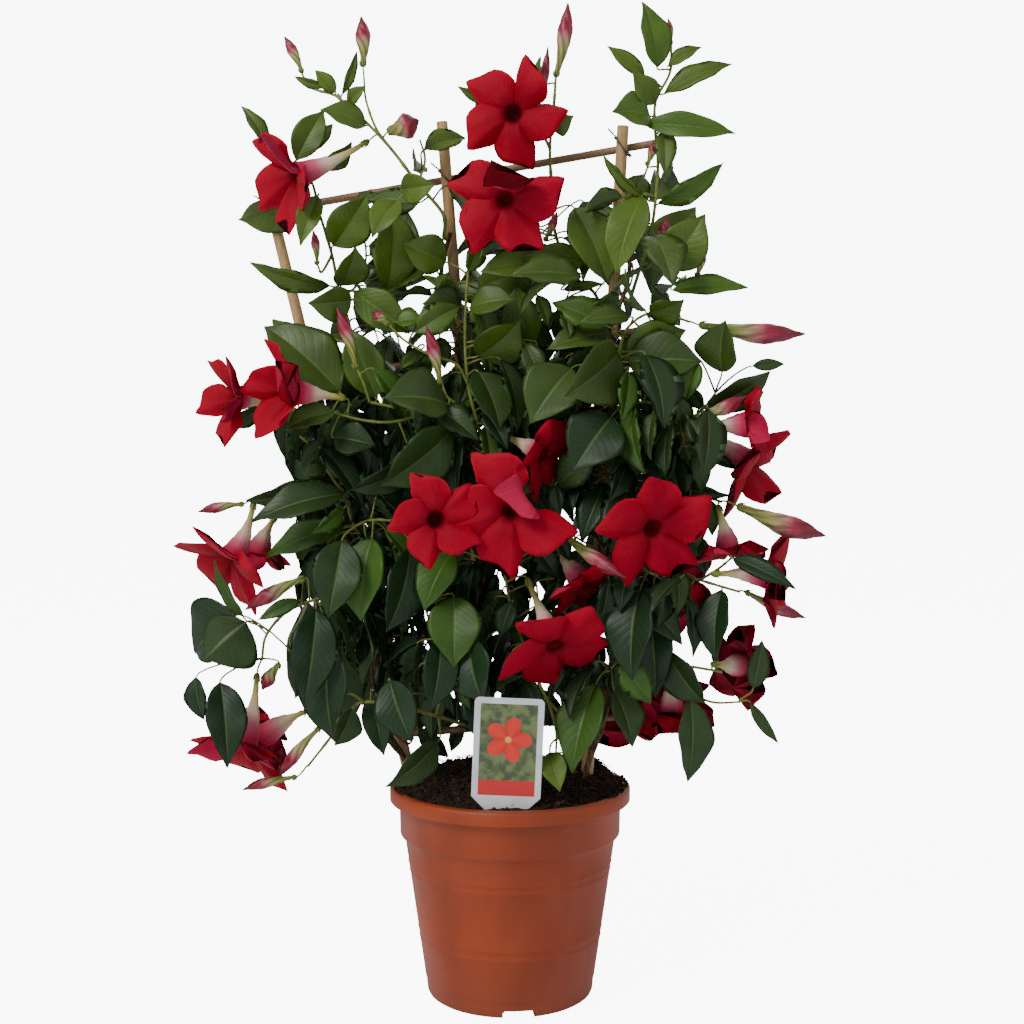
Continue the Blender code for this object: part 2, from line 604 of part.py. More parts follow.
def build_soil(collection, finish):
    # A plug with the pot's inner shape and a mounded top
    wall_rings = [
        (BASE_RADIUS - 6 * MM, FLOOR + GAP),
        (BASE_RADIUS - WALL - 1.4 * MM, FLOOR + 5 * MM),
        (BODY_RADIUS - WALL - 1.4 * MM, BAND_FOOT - 4 * MM),
        (BAND_RADIUS - WALL - 2.4 * MM, BAND_FOOT + 3 * MM),
    ]
    bm = bmesh.new()
    rings = []
    edge = BAND_RADIUS - WALL - 1.6 * MM
    for radius, height in wall_rings:
        rings.append([(radius, height)] * SOIL_COLUMNS)
    for index in range(SOIL_RINGS):
        rings.append([(edge * (1 - index / SOIL_RINGS), None)] * SOIL_COLUMNS)
    made = []
    for ring in rings:
        row = []
        for column, (radius, height) in enumerate(ring):
            angle = math.tau * column / SOIL_COLUMNS
            x = radius * math.cos(angle)
            y = radius * math.sin(angle)
            row.append(bm.verts.new((x, y, soil_height(x, y) if height is None else height)))
        made.append(row)
    for lower, upper in zip(made, made[1:]):
        for column in range(SOIL_COLUMNS):
            after = (column + 1) % SOIL_COLUMNS
            bm.faces.new((lower[column], lower[after], upper[after], upper[column]))
    bm.faces.new(list(reversed(made[0])))
    top = bm.verts.new((0.0, 0.0, soil_height(0.0, 0.0)))
    for column in range(SOIL_COLUMNS):
        bm.faces.new((made[-1][column], made[-1][(column + 1) % SOIL_COLUMNS], top))
    bmesh.ops.triangulate(bm, faces=bm.faces)
    bmesh.ops.recalc_face_normals(bm, faces=bm.faces)
    return add_object("soil", mesh_from(bm, "soil"), collection, finish)


def label_outline():
    # Half of the outline from the top middle down to the stake's tip, as (across, down)
    half = LABEL_WIDTH / 2
    points = [(0.0, 0.0)]
    for step in range(4):
        angle = math.radians(90.0 - 30.0 * step)
        across = half - LABEL_CORNER + LABEL_CORNER * math.cos(angle)
        points.append((across, LABEL_CORNER - LABEL_CORNER * math.sin(angle)))
    points.append((half, LABEL_HEIGHT - LABEL_CHAMFER))
    points.append((half - LABEL_CHAMFER, LABEL_HEIGHT))
    points.append((STAKE_WIDTH / 2 - 1 * MM, LABEL_HEIGHT + 2 * MM))
    points.append((STAKE_WIDTH / 3, LABEL_HEIGHT + STAKE_LENGTH * 0.7))
    points.append((1.5 * MM, LABEL_HEIGHT + STAKE_LENGTH))
    return points


def label_axes():
    head = seen(*LABEL_HEAD)
    down = (seen(*LABEL_FOOT) - head).normalized()
    out = down.cross(Vector((1, 0, 0))).normalized()
    across = out.cross(down).normalized()
    return head, across, down, out


def build_label(name, collection, finish, swell=0.0):
    head, across, down, out = label_axes()
    half = label_outline()
    outline = half[1:] + [(-x, y) for x, y in reversed(half[1:])]
    bm = bmesh.new()
    front = []
    for x, y in outline:
        wide = x + math.copysign(swell, x)
        front.append(bm.verts.new(head + across * wide + down * (y + swell) + out * (LABEL_THICK / 2 + swell)))
    face = bm.faces.new(front)
    back = bmesh.ops.extrude_face_region(bm, geom=[face])
    moved = [item for item in back["geom"] if isinstance(item, bmesh.types.BMVert)]
    bmesh.ops.translate(bm, vec=out * -(LABEL_THICK + 2 * swell), verts=moved)
    bmesh.ops.triangulate(bm, faces=bm.faces)
    bmesh.ops.recalc_face_normals(bm, faces=bm.faces)
    return add_object(name, mesh_from(bm, name), collection, finish)


def cane_line(name):
    # The foot in the soil and the top end of a cane
    low, high = (seen(*place) for place in CANES[name])
    run = high - low
    foot = low + run * ((CANE_FOOT - low.z) / run.z)
    return foot, high


def build_cane(name, collection, finish, swell=0.0):
    foot, top = cane_line(name)
    places = []
    radii = []
    knots = 5
    for index in range(knots):
        share = index / (knots - 1)
        taper = 1.0 - CANE_TAPER * share
        places.append(foot.lerp(top, share))
        radii.append(CANE_RADIUS * taper + swell)
        if index and index < knots - 1:
            places[-1] = foot.lerp(top, share - 0.006)
            places.append(foot.lerp(top, share + 0.006))
            radii[-1] += 0.5 * MM
            radii.append(radii[-1])
    return add_object(name, tube_mesh(name, places, radii, 2), collection, finish)


def bar_line(name):
    return tuple(seen(*place) for place in BARS[name])


def nearest_between(line_a, line_b):
    # The points of two lines that are closest to each other
    start_a, end_a = line_a
    start_b, end_b = line_b
    run_a = end_a - start_a
    run_b = end_b - start_b
    between = run_a.cross(run_b)
    offset = start_b - start_a
    share_a = offset.cross(run_b).dot(between) / between.length_squared
    share_b = offset.cross(run_a).dot(between) / between.length_squared
    return start_a + run_a * share_a, start_b + run_b * share_b


def cane_radius(name, place):
    # A cane tapers from its foot to its top
    foot, top = cane_line(name)
    return CANE_RADIUS * (1.0 - CANE_TAPER * (place - foot).length / (top - foot).length)


def seated_bar(name):
    # The bar lies behind the canes: each end is set against an outer cane, then both clear the middle one
    start, end = bar_line(name)
    away = Vector((0, 1, 0))
    for cane in ("cane_left", "cane_right", "cane_middle"):
        on_cane, on_bar = nearest_between(cane_line(cane), (start, end))
        shift = cane_radius(cane, on_cane) + BAR_RADIUS + SEAT - (on_bar - on_cane).dot(away)
        if cane == "cane_left" or (cane == "cane_middle" and shift > 0):
            start = start + away * shift
        if cane == "cane_right" or (cane == "cane_middle" and shift > 0):
            end = end + away * shift
    return start, end


def build_bar(name, collection, finish):
    start, end = seated_bar(name)
    shares = (0.0, 0.3, 0.31, 0.7, 0.71, 1.0)
    swells = (0.0, 0.4, 0.4, 0.3, 0.3, 0.0)
    places = [start.lerp(end, share) for share in shares]
    radii = [BAR_RADIUS * (1 - 0.1 * share) + swell * MM for share, swell in zip(shares, swells)]
    return add_object(name, tube_mesh(name, places, radii, 1), collection, finish)


def tie_points(cane, bar):
    # A loop of wire laid slantwise round the crossing of a cane and a bar
    on_cane, on_bar = nearest_between(cane_line(cane), seated_bar(bar))
    out = (on_bar - on_cane).normalized()
    along = (cane_line(cane)[1] - cane_line(cane)[0]).normalized()
    side = along.cross(out).normalized()
    slant = (along + side).normalized()
    reach_cane = cane_radius(cane, on_cane) + TIE_WIRE + SEAT
    reach_bar = BAR_RADIUS + TIE_WIRE + TIE_SLACK
    points = []
    for index in range(TIE_POINTS):
        angle = math.tau * index / TIE_POINTS
        lengthwise = math.cos(angle)
        outward = math.sin(angle)
        centre, reach = (on_bar, reach_bar) if outward > 0.1 else (on_cane, reach_cane)
        points.append(centre + slant * (lengthwise * reach * TIE_SLANT) + out * (outward * reach * TIE_SWELL))
    return points


def build_tie(name, cane, bar, collection, finish):
    points = tie_points(cane, bar)
    mesh = tube_mesh(name, points, [TIE_WIRE] * len(points), 0, cyclic=True)
    return add_object(name, mesh, collection, finish)


def vine_run(name):
    # A stem that swings from side to side in front of its cane, from its own hole in the soil
    cane, swings, share = VINES[name]
    foot, top = cane_line(cane)
    along = (top - foot).normalized()
    side = along.cross(Vector((0, 1, 0))).normalized()
    front = side.cross(along).normalized()
    if front.y > 0:
        front = -front
    count = int(abs(swings) * 6) + 1
    points = []
    for index in range(count):
        climbed = index / (count - 1)
        swing = VINE_SWING * min(1.0, 4.0 * climbed) * math.sin(math.tau * swings * climbed)
        around = side * math.sin(math.radians(swing)) + front * math.cos(math.radians(swing))
        points.append(foot.lerp(top, 0.07 + (share - 0.07) * climbed) + around * VINE_OFFSET)
    return points


def build_vine(name, collection, finish, swell=0.0):
    points = vine_run(name)
    radii = [VINE_RADIUS * (1.0 - 0.35 * index / len(points)) + swell for index in range(len(points))]
    return add_object(name, tube_mesh(name, points, radii, 1), collection, finish)


def stem_runs(name):
    # The main stem leaves its vine square to it; the side stems start on the main one
    vine, runs = STEMS[name]
    vine_points = smooth_run(vine_run(vine), 120)
    cane = cane_line(VINES[vine][0])
    main = [seen(*place) for place in runs[0]]

    def reach(index):
        # How far the vine's point is, with one that has the cane in the way put last
        origin = vine_points[index]
        on_cane, passed = nearest_between(cane, (origin, main[0]))
        blocked = (on_cane - passed).length < CANE_RADIUS + STEM_ROOM
        ahead = 0.0 < (passed - origin).dot(main[0] - origin)
        return (main[0] - origin).length + (1.0 if blocked and ahead else 0.0)

    index = min(range(1, 119), key=reach)
    origin = vine_points[index]
    along = (vine_points[index + 1] - vine_points[index - 1]).normalized()
    out = main[0] - origin
    out = (out - along * out.dot(along)).normalized()
    radius = VINE_RADIUS * (1.0 - 0.35 * index / 120)
    start = origin + out * (radius + STEM_GAP)
    made = [[start, start + out * 4 * MM] + main]
    made += [[seen(*place) for place in run] for run in runs[1:]]
    return made


def stem_radius(share, main):
    return STEM_RADIUS * ((1.1 - 0.4 * share) if main else (0.85 - 0.3 * share))


def stem_meshes(name):
    meshes = []
    for index, run in enumerate(stem_runs(name)):
        radii = [stem_radius(i / len(run), index == 0) for i in range(len(run))]
        meshes.append(tube_mesh(name, run, radii))
    return meshes


def stem_samples():
    # Points all along every leafy stem, away from its foot, with the shoot that they are on
    found = []
    for name in STEMS:
        for index, line in enumerate(stem_runs(name)):
            for first, second in list(zip(line, line[1:]))[2 if index == 0 else 0:]:
                found += [(name, first.lerp(second, (share + 0.5) / 8)) for share in range(8)]
            found.append((name, line[-1].lerp(line[-2], 0.12)))
    return found


def nearest_stem(samples, place):
    return min(samples, key=lambda sample: (sample[1] - place).length)


def leaf_frame(spec, index, step):
    (root_near, tip_near), (root_step, tip_step) = spec.near, step
    root = seen(*spec.base, root_near + root_step)
    tip = seen(*spec.tip, tip_near + tip_step)
    along = tip - root
    to_view = (VIEW_POINT - root).normalized()
    out = (to_view - along * (to_view.dot(along) / along.length_squared)).normalized()
    turn = spec.turn if spec.turn is not None else 38.0 * math.sin(2.4 * index + 0.6)
    side = out.cross(along).normalized()
    half = spec.wide * PIXEL / 2 / math.cos(math.radians(turn))
    angle = math.radians(turn)
    turned_side = side * math.cos(angle) + out * math.sin(angle)
    turned_out = out * math.cos(angle) - side * math.sin(angle)
    return root, along, turned_side, turned_out, half


def leaf_point(frame, cup, share, across):
    # A pointed oval that arches from root to tip, with its two halves raised from the midrib
    root, along, side, out, half = frame
    width = math.sin(math.pi * share ** 0.8) ** 0.9 if 0.0 < share < 1.0 else 0.0
    arch = 0.36 * share * (1.0 - share) * along.length
    lift = arch + cup * abs(across) * width * half * 2
    return root + along * share + side * (across * width * half) + out * lift


def ring_round(centre, side, out):
    return [centre - side, centre + out, centre + side, centre - out]


def leaf_mesh(spec, frame, origin=None):
    # Stalk and blade as one loft of four-sided sections: thick at the midrib, thin at the edges
    root, along, side, out, half = frame
    rings = []
    if origin:
        heading = (root - origin).normalized()
        swing = along.rotation_difference(heading)
        rings.append(ring_round(origin, swing @ side * PETIOLE_RADIUS, swing @ out * PETIOLE_RADIUS))
    if not origin or (spec.wide >= TINY_WIDTH and (root - origin).length > 4 * MM):
        rings.append(ring_round(root, side * PETIOLE_RADIUS, out * PETIOLE_RADIUS))
    for share in SMALL_SHARES if spec.wide < SMALL_WIDTH else LEAF_SHARES:
        middle = leaf_point(frame, spec.cup, share, 0.0)
        left = leaf_point(frame, spec.cup, share, -1.0)
        right = leaf_point(frame, spec.cup, share, 1.0)
        rings.append([left, middle + out * LEAF_THICK / 2, right, middle - out * LEAF_THICK / 2])
    bm = bmesh.new()
    made = [[bm.verts.new(place) for place in ring] for ring in rings]
    tip = bm.verts.new(root + along)
    for first, second in zip(made, made[1:]):
        for corner in range(4):
            after = (corner + 1) % 4
            edge, inner = (corner, after) if corner % 2 == 0 else (after, corner)
            bm.faces.new((first[edge], first[inner], second[inner]))
            bm.faces.new((first[edge], second[inner], second[edge]))
    for corner in range(4):
        bm.faces.new((made[-1][corner], made[-1][(corner + 1) % 4], tip))
    bm.faces.new(made[0])
    bmesh.ops.triangulate(bm, faces=bm.faces)
    bmesh.ops.recalc_face_normals(bm, faces=bm.faces)
    return mesh_from(bm, "leaf")


def bud_mesh(spec, origin, step):
    root_step, tip_step = step
    u, v, near = spec.root
    root = seen(u, v, near + root_step)
    u, v, near = spec.tip
    tip = seen(u, v, near + tip_step)
    run = tip - root
    half = spec.thick * PIXEL / 2
    points = [origin, root] + [root.lerp(tip, share) for share in (0.3, 0.68, 1.0)]
    radii = [PETIOLE_RADIUS, max(PETIOLE_RADIUS, half * 0.36), half * 0.85, half * 0.85, 0.4 * MM]
    return tube_mesh("bud", points, radii)


def bloom_frame(spec, step):
    calyx_step, heart_step = step
    u, v, near = spec.calyx
    calyx = seen(u, v, near + calyx_step)
    u, v, near = spec.heart
    heart = seen(u, v, near + heart_step)
    right, up, near = spec.face
    face = Vector((right, -near, up)).normalized()
    bend = heart - face * 0.45 * (heart - calyx).length
    first = (bend - calyx).normalized()
    upright = Vector((0, 0, 1)) if abs(face.z) < 0.8 else Vector((0, -1, 0))
    side = face.cross(upright).normalized()
    top = side.cross(face).normalized()
    return calyx, bend, heart, first, face, side, top


def tube_ring(frame, share, radius):
    # A ring round the bloom's tube, which bends from the calyx to the mouth
    calyx, bend, heart, first, face, side, top = frame
    centre = calyx.lerp(bend, share).lerp(bend.lerp(heart, share), share)
    heading = (bend - calyx).lerp(heart - bend, share).normalized()
    swing = face.rotation_difference(heading)
    ring = []
    for column in range(15):
        angle = lobe_angle(column)
        ring.append(centre + swing @ (side * math.sin(angle) + top * math.cos(angle)) * radius)
    return ring


def lobe_angle(column):
    return math.radians(72.0 * (column // 3) + LOBE_ANGLES[column % 3])


def limb_ring(frame, spec, reach_share, outward):
    # The open limb: five lobes, each lifted on its own, joined by their low shoulders
    heart, face, side, top = frame[2], frame[4], frame[5], frame[6]
    ring = []
    for column in range(15):
        lobe = column // 3
        lift = spec.lift + spec.lobes[lobe]
        if column % 3 == 0:
            lift = spec.lift + (spec.lobes[lobe] + spec.lobes[lobe - 1]) / 2
        lift = math.radians(lift)
        angle = lobe_angle(column) + math.radians(spec.spin)
        radial = side * math.sin(angle) + top * math.cos(angle)
        reach = spec.wide * PIXEL * LOBE_REACHES[column % 3] * reach_share
        place = radial * (THROAT + (reach - THROAT) * math.cos(lift)) + face * (reach - THROAT) * math.sin(lift)
        sheet_normal = face * math.cos(lift) - radial * math.sin(lift)
        ring.append(heart + place + sheet_normal * outward)
    return ring


def throat_ring(frame, spec, radius, depth):
    heart, face, side, top = frame[2], frame[4], frame[5], frame[6]
    ring = []
    for column in range(15):
        angle = lobe_angle(column) + math.radians(spec.spin)
        ring.append(heart + (side * math.sin(angle) + top * math.cos(angle)) * radius + face * depth)
    return ring


def bloom_mesh(spec, frame):
    # Tube, limb and the hollow of the throat as one closed loft
    rings = [
        tube_ring(frame, 0.0, 1.9 * MM),
        tube_ring(frame, 0.45, 3.2 * MM),
        throat_ring(frame, spec, THROAT, -3.0 * MM),
        limb_ring(frame, spec, 1.0, 0.0),
        limb_ring(frame, spec, 1.0, PETAL_THICK),
        throat_ring(frame, spec, THROAT - 1.6 * MM, 0.4 * MM),
    ]
    bm = bmesh.new()
    made = [[bm.verts.new(place) for place in ring] for ring in rings]
    for index, (first, second) in enumerate(zip(made, made[1:])):
        for column in range(15):
            after = (column + 1) % 15
            if index < 4:
                bm.faces.new((first[column], first[after], second[after]))
                bm.faces.new((first[column], second[after], second[column]))
            else:
                bm.faces.new((first[column], first[after], second[column]))
                bm.faces.new((first[after], second[after], second[column]))
    bm.faces.new(made[0])
    deep = bm.verts.new(frame[2] - frame[4] * THROAT_DEPTH)
    for column in range(15):
        bm.faces.new((made[-1][column], made[-1][(column + 1) % 15], deep))
    bmesh.ops.triangulate(bm, faces=bm.faces)
    bmesh.ops.recalc_face_normals(bm, faces=bm.faces)
    return mesh_from(bm, "bloom")


def pedicel_mesh(origin, frame):
    calyx, first = frame[0], frame[3]
    end = calyx - first * GAP
    before = end - first * 4 * MM
    return tube_mesh("pedicel", [origin, before, end], [PETIOLE_RADIUS, 1.3 * MM, 1.9 * MM])


def back_leaves():
    # The partners behind the trellis, whose plane comes nearer to the right
    made = []
    for index, spec in enumerate(LEAVES):
        if spec.wide < BACK_LEAST_WIDTH:
            continue
        sign = 1 if index % 2 else -1
        places = []
        nears = []
        for (u, v), near in zip((spec.base, spec.tip), spec.near):
            trellis = 0.217 * (u - 490)
            places.append((u + sign * BACK_SHIFT[0], v + BACK_SHIFT[1]))
            nears.append(min(trellis - BACK_DEPTH, 2 * trellis - near))
        made.append(leaf(places[0], places[1], tuple(nears), spec.wide))
    return made


def drop_scraps(mesh):
    # Keeps the largest connected body of a mesh
    bm = bmesh.new()
    bm.from_mesh(mesh)
    left = set(bm.verts)
    bodies = []
    while left:
        body = set()
        edge = [left.pop()]
        while edge:
            vert = edge.pop()
            body.add(vert)
            near = {link.other_vert(vert) for link in vert.link_edges} & left
            left -= near
            edge += near
        bodies.append(body)
    bodies.sort(key=len)
    for body in bodies[:-1]:
        bmesh.ops.delete(bm, geom=list(body), context="VERTS")
    bm.to_mesh(mesh)
    bm.free()


def fuse(name, meshes, collection, finish):
    # One Boolean union of everything that a shoot carries with its main stem
    made = add_object(name, meshes[0], collection, finish)
    loose = bpy.data.collections.new(f"{name}_pieces")
    bpy.context.scene.collection.children.link(loose)
    for mesh in meshes[1:]:
        add_object("piece", mesh, loose)
    union = made.modifiers.new("union", "BOOLEAN")
    union.operation = "UNION"
    union.operand_type = "COLLECTION"
    union.collection = loose
    union.solver = "MANIFOLD"
    mesh = applied(made)
    drop_scraps(mesh)
    mesh.materials.clear()
    mesh.materials.append(finish)
    for piece in list(loose.objects):
        bpy.data.objects.remove(piece)
    bpy.data.collections.remove(loose)
    return made


def clear_scene():
    for item in list(bpy.data.objects):
        bpy.data.objects.remove(item)


def build_trellis(parts, finishes):
    for name in CANES:
        build_cane(name, parts, finishes["bamboo"])
    for name in BARS:
        build_bar(name, parts, finishes["bamboo"])
    for bar in BARS:
        for cane in CANES:
            build_tie(f"tie_{bar[9:]}_{cane[5:]}", cane, bar, parts, finishes["wire"])
    for name in VINES:
        build_vine(name, parts, finishes["bark"])


def hole_soil(soil, cutters):
    # Plain holes where the canes, the vines and the label stand
    for name in CANES:
        cut(soil, build_cane(name, cutters, None, GAP))
    for name in VINES:
        cut(soil, build_vine(name, cutters, None, GAP))
    cut(soil, build_label("label", cutters, None, GAP))


def build_plant(parts, finishes, fixed):
    # Stems first, then blooms, buds and leaves, each placed clear of what is there already
    meshes = {name: stem_meshes(name) for name in STEMS}
    trees = {name: [tree_of(mesh) for mesh in meshes[name]] for name in STEMS}
    mates = {name: [] for name in STEMS}
    samples = stem_samples()
    dropped = []

    def settle(shoot, make, apart=False):
        # The first step that clears every other node whole and the shoot's own blades and blooms
        others = fixed + [tree for name in trees if name != shoot for tree in trees[name]]
        own = trees[shoot] if apart else []
        for step in STEPS:
            made, test = make(step)
            made_trees = [tree_of(mesh) for mesh in made]
            test_tree = tree_of(test)
            inside = clears(test_tree, mates[shoot]) and clears(test_tree, own)
            if inside and all(clears(tree, others) for tree in made_trees):
                mates[shoot].append(test_tree)
                return made, made_trees
        return None, None

    for name, spec in BLOOMS.items():
        shoot, origin = nearest_stem(samples, seen(*spec.calyx))

        def make_bloom(step):
            frame = bloom_frame(spec, step)
            mesh = bloom_mesh(spec, frame)
            return [mesh, pedicel_mesh(origin, frame)], mesh

        made, made_trees = settle(shoot, make_bloom, True)
        if made is None:
            dropped.append(name)
            continue
        add_object(name, made[0], parts, finishes["petal"])
        trees[name] = [made_trees[0]]
        meshes[shoot].append(made[1])
        trees[shoot].append(made_trees[1])

    for index, spec in enumerate(BUDS):
        shoot, origin = nearest_stem(samples, seen(*spec.root))

        def make_bud(step):
            mesh = bud_mesh(spec, origin, step)
            return [mesh], mesh

        made, made_trees = settle(shoot, make_bud)
        if made is None:
            dropped.append(f"bud {index}")
            continue
        meshes[shoot] += made
        trees[shoot] += made_trees

    for index, spec in enumerate(LEAVES + back_leaves()):
        shoot, origin = nearest_stem(samples, seen(*spec.base, spec.near[0]))

        def make_leaf(step):
            frame = leaf_frame(spec, index, step)
            return [leaf_mesh(spec, frame, origin)], leaf_mesh(spec, frame)

        made, made_trees = settle(shoot, make_leaf)
        if made is None:
            dropped.append(f"leaf {index}")
            continue
        meshes[shoot] += made
        trees[shoot] += made_trees

    for name in STEMS:
        fuse(name, meshes[name], parts, finishes["green"])
    if dropped:
        print("left out:", dropped)


def main():
    clear_scene()
    scene = bpy.context.scene
    parts = bpy.data.collections.new("potted_mandevilla")
    cutters = bpy.data.collections.new("cutters")
    scene.collection.children.link(parts)
    scene.collection.children.link(cutters)
    finishes = {
        "clay": material("clay_plastic", (0.42, 0.12, 0.05), 0.45),
        "peat": material("peat", (0.03, 0.02, 0.013), 0.95),
        "card": material("label_plastic", (0.75, 0.76, 0.78), 0.4),
        "bamboo": material("bamboo", (0.5, 0.32, 0.16), 0.6),
        "wire": material("tie_wire", (0.1, 0.1, 0.09), 0.5, 0.6),
        "bark": material("vine_bark", (0.16, 0.09, 0.05), 0.8),
        "green": material("leaf_green", (0.05, 0.13, 0.03), 0.35),
        "petal": material("petal_red", (0.5, 0.01, 0.02), 0.5),
    }
    pot = build_pot(parts, cutters, finishes["clay"])
    soil = build_soil(parts, finishes["peat"])
    build_label("label", parts, finishes["card"])
    build_trellis(parts, finishes)
    hole_soil(soil, cutters)
    for cutter in cutters.objects:
        cutter.hide_render = True
        cutter.display_type = "WIRE"
    bpy.context.view_layer.update()
    fixed = [tree_of(item.data) for item in parts.objects if item not in (pot, soil)]
    depsgraph = bpy.context.evaluated_depsgraph_get()
    for item in (pot, soil):
        evaluated = item.evaluated_get(depsgraph)
        fixed.append(tree_of(evaluated.to_mesh()))
        evaluated.to_mesh_clear()
    build_plant(parts, finishes, fixed)


main()
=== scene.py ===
# A climbing mandevilla on a bamboo trellis, in a round terracotta-coloured plastic pot with soil and a label.
# Places on it are (u, v, near): u and v in pixels of a 1024 pixel view, near in mm from the pot's axis.
import math
import random
from collections import namedtuple

import bmesh
import bpy
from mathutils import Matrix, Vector, noise
from mathutils.bvhtree import BVHTree
from mathutils.kdtree import KDTree


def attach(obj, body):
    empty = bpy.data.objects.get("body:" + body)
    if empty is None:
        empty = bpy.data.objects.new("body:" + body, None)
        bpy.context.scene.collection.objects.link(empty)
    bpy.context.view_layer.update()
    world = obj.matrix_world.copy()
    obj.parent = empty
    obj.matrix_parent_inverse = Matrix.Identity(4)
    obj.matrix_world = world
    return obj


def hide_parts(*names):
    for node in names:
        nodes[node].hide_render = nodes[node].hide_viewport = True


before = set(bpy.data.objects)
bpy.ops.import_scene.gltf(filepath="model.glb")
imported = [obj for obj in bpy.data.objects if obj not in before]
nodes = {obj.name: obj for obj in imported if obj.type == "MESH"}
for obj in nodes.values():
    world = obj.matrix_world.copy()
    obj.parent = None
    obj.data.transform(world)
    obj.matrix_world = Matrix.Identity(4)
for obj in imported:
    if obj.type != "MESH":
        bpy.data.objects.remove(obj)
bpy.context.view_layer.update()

mm = 0.001
print("frame loaded with", len(nodes), "nodes")

# the view that the places are read from, and its camera
viewSet = {
    "point": Vector((0.0016, -1.25, 0.463)),
    "target": Vector((0.0016, 0.0, 0.393)),
    "focal": 1546.0,  # in pixels of the 1024 pixel view
    "size": 1024.0,
}


def seen(u, v, near):
    # the point of space that shows at pixel u, v, at this distance in mm towards the view
    forward = (viewSet["target"] - viewSet["point"]).normalized()
    up = Vector((1, 0, 0)).cross(forward)
    across = (u - viewSet["size"] / 2) / viewSet["focal"]
    down = (v - viewSet["size"] / 2) / viewSet["focal"]
    ray = forward + Vector((across, 0, 0)) - up * down
    return viewSet["point"] + ray * ((-near * mm - viewSet["point"].y) / ray.y)


def pixelOf(place):
    # the pixel that a point of space shows at
    forward = (viewSet["target"] - viewSet["point"]).normalized()
    up = Vector((1, 0, 0)).cross(forward)
    ray = place - viewSet["point"]
    depth = ray.dot(forward)
    half = viewSet["size"] / 2
    return half + viewSet["focal"] * ray.x / depth, half - viewSet["focal"] * ray.dot(up) / depth


eye = bpy.data.objects.new("camera", bpy.data.cameras.new("camera"))
bpy.context.scene.collection.objects.link(eye)
eye.location = viewSet["point"]
eye.rotation_euler = (viewSet["target"] - viewSet["point"]).to_track_quat("-Z", "Y").to_euler()
eye.data.sensor_width = 36.0
eye.data.lens = 36.0 * viewSet["focal"] / viewSet["size"]
eye.data.clip_start = 0.05
bpy.context.scene.camera = eye

# Places, as in the part's own source
leafPlace = namedtuple("LeafPlace", "base tip near wide turn cup", defaults=(None, 0.16))
bloomPlace = namedtuple("BloomPlace", "calyx heart face wide spin lift lobes")
budPlace = namedtuple("BudPlace", "root tip thick")

# Canes: a low and a high place on each, from which its foot in the soil is worked out
canePlaces = {
    "cane_left": ((404, 751, -4), (266, 186, -50)),
    "cane_middle": ((493, 760, -3), (442, 122, -15)),
    "cane_right": ((588, 760, 15), (623, 126, 26)),
}
barPlaces = {
    "crossbar_lower": ((368, 740, -13), (641, 720, 26)),
    "crossbar_middle": ((306, 380, -44), (652, 328, 28)),
    "crossbar_top": ((243, 214, -58), (662, 140, 30)),
}

# Woody vines: the cane that each climbs, how often it swings across it, and the share that it climbs
vinePlaces = {
    "vine_left": ("cane_left", -2.5, 0.80),
    "vine_middle": ("cane_middle", -3.0, 0.86),
    "vine_right": ("cane_right", 3.0, 0.90),
}

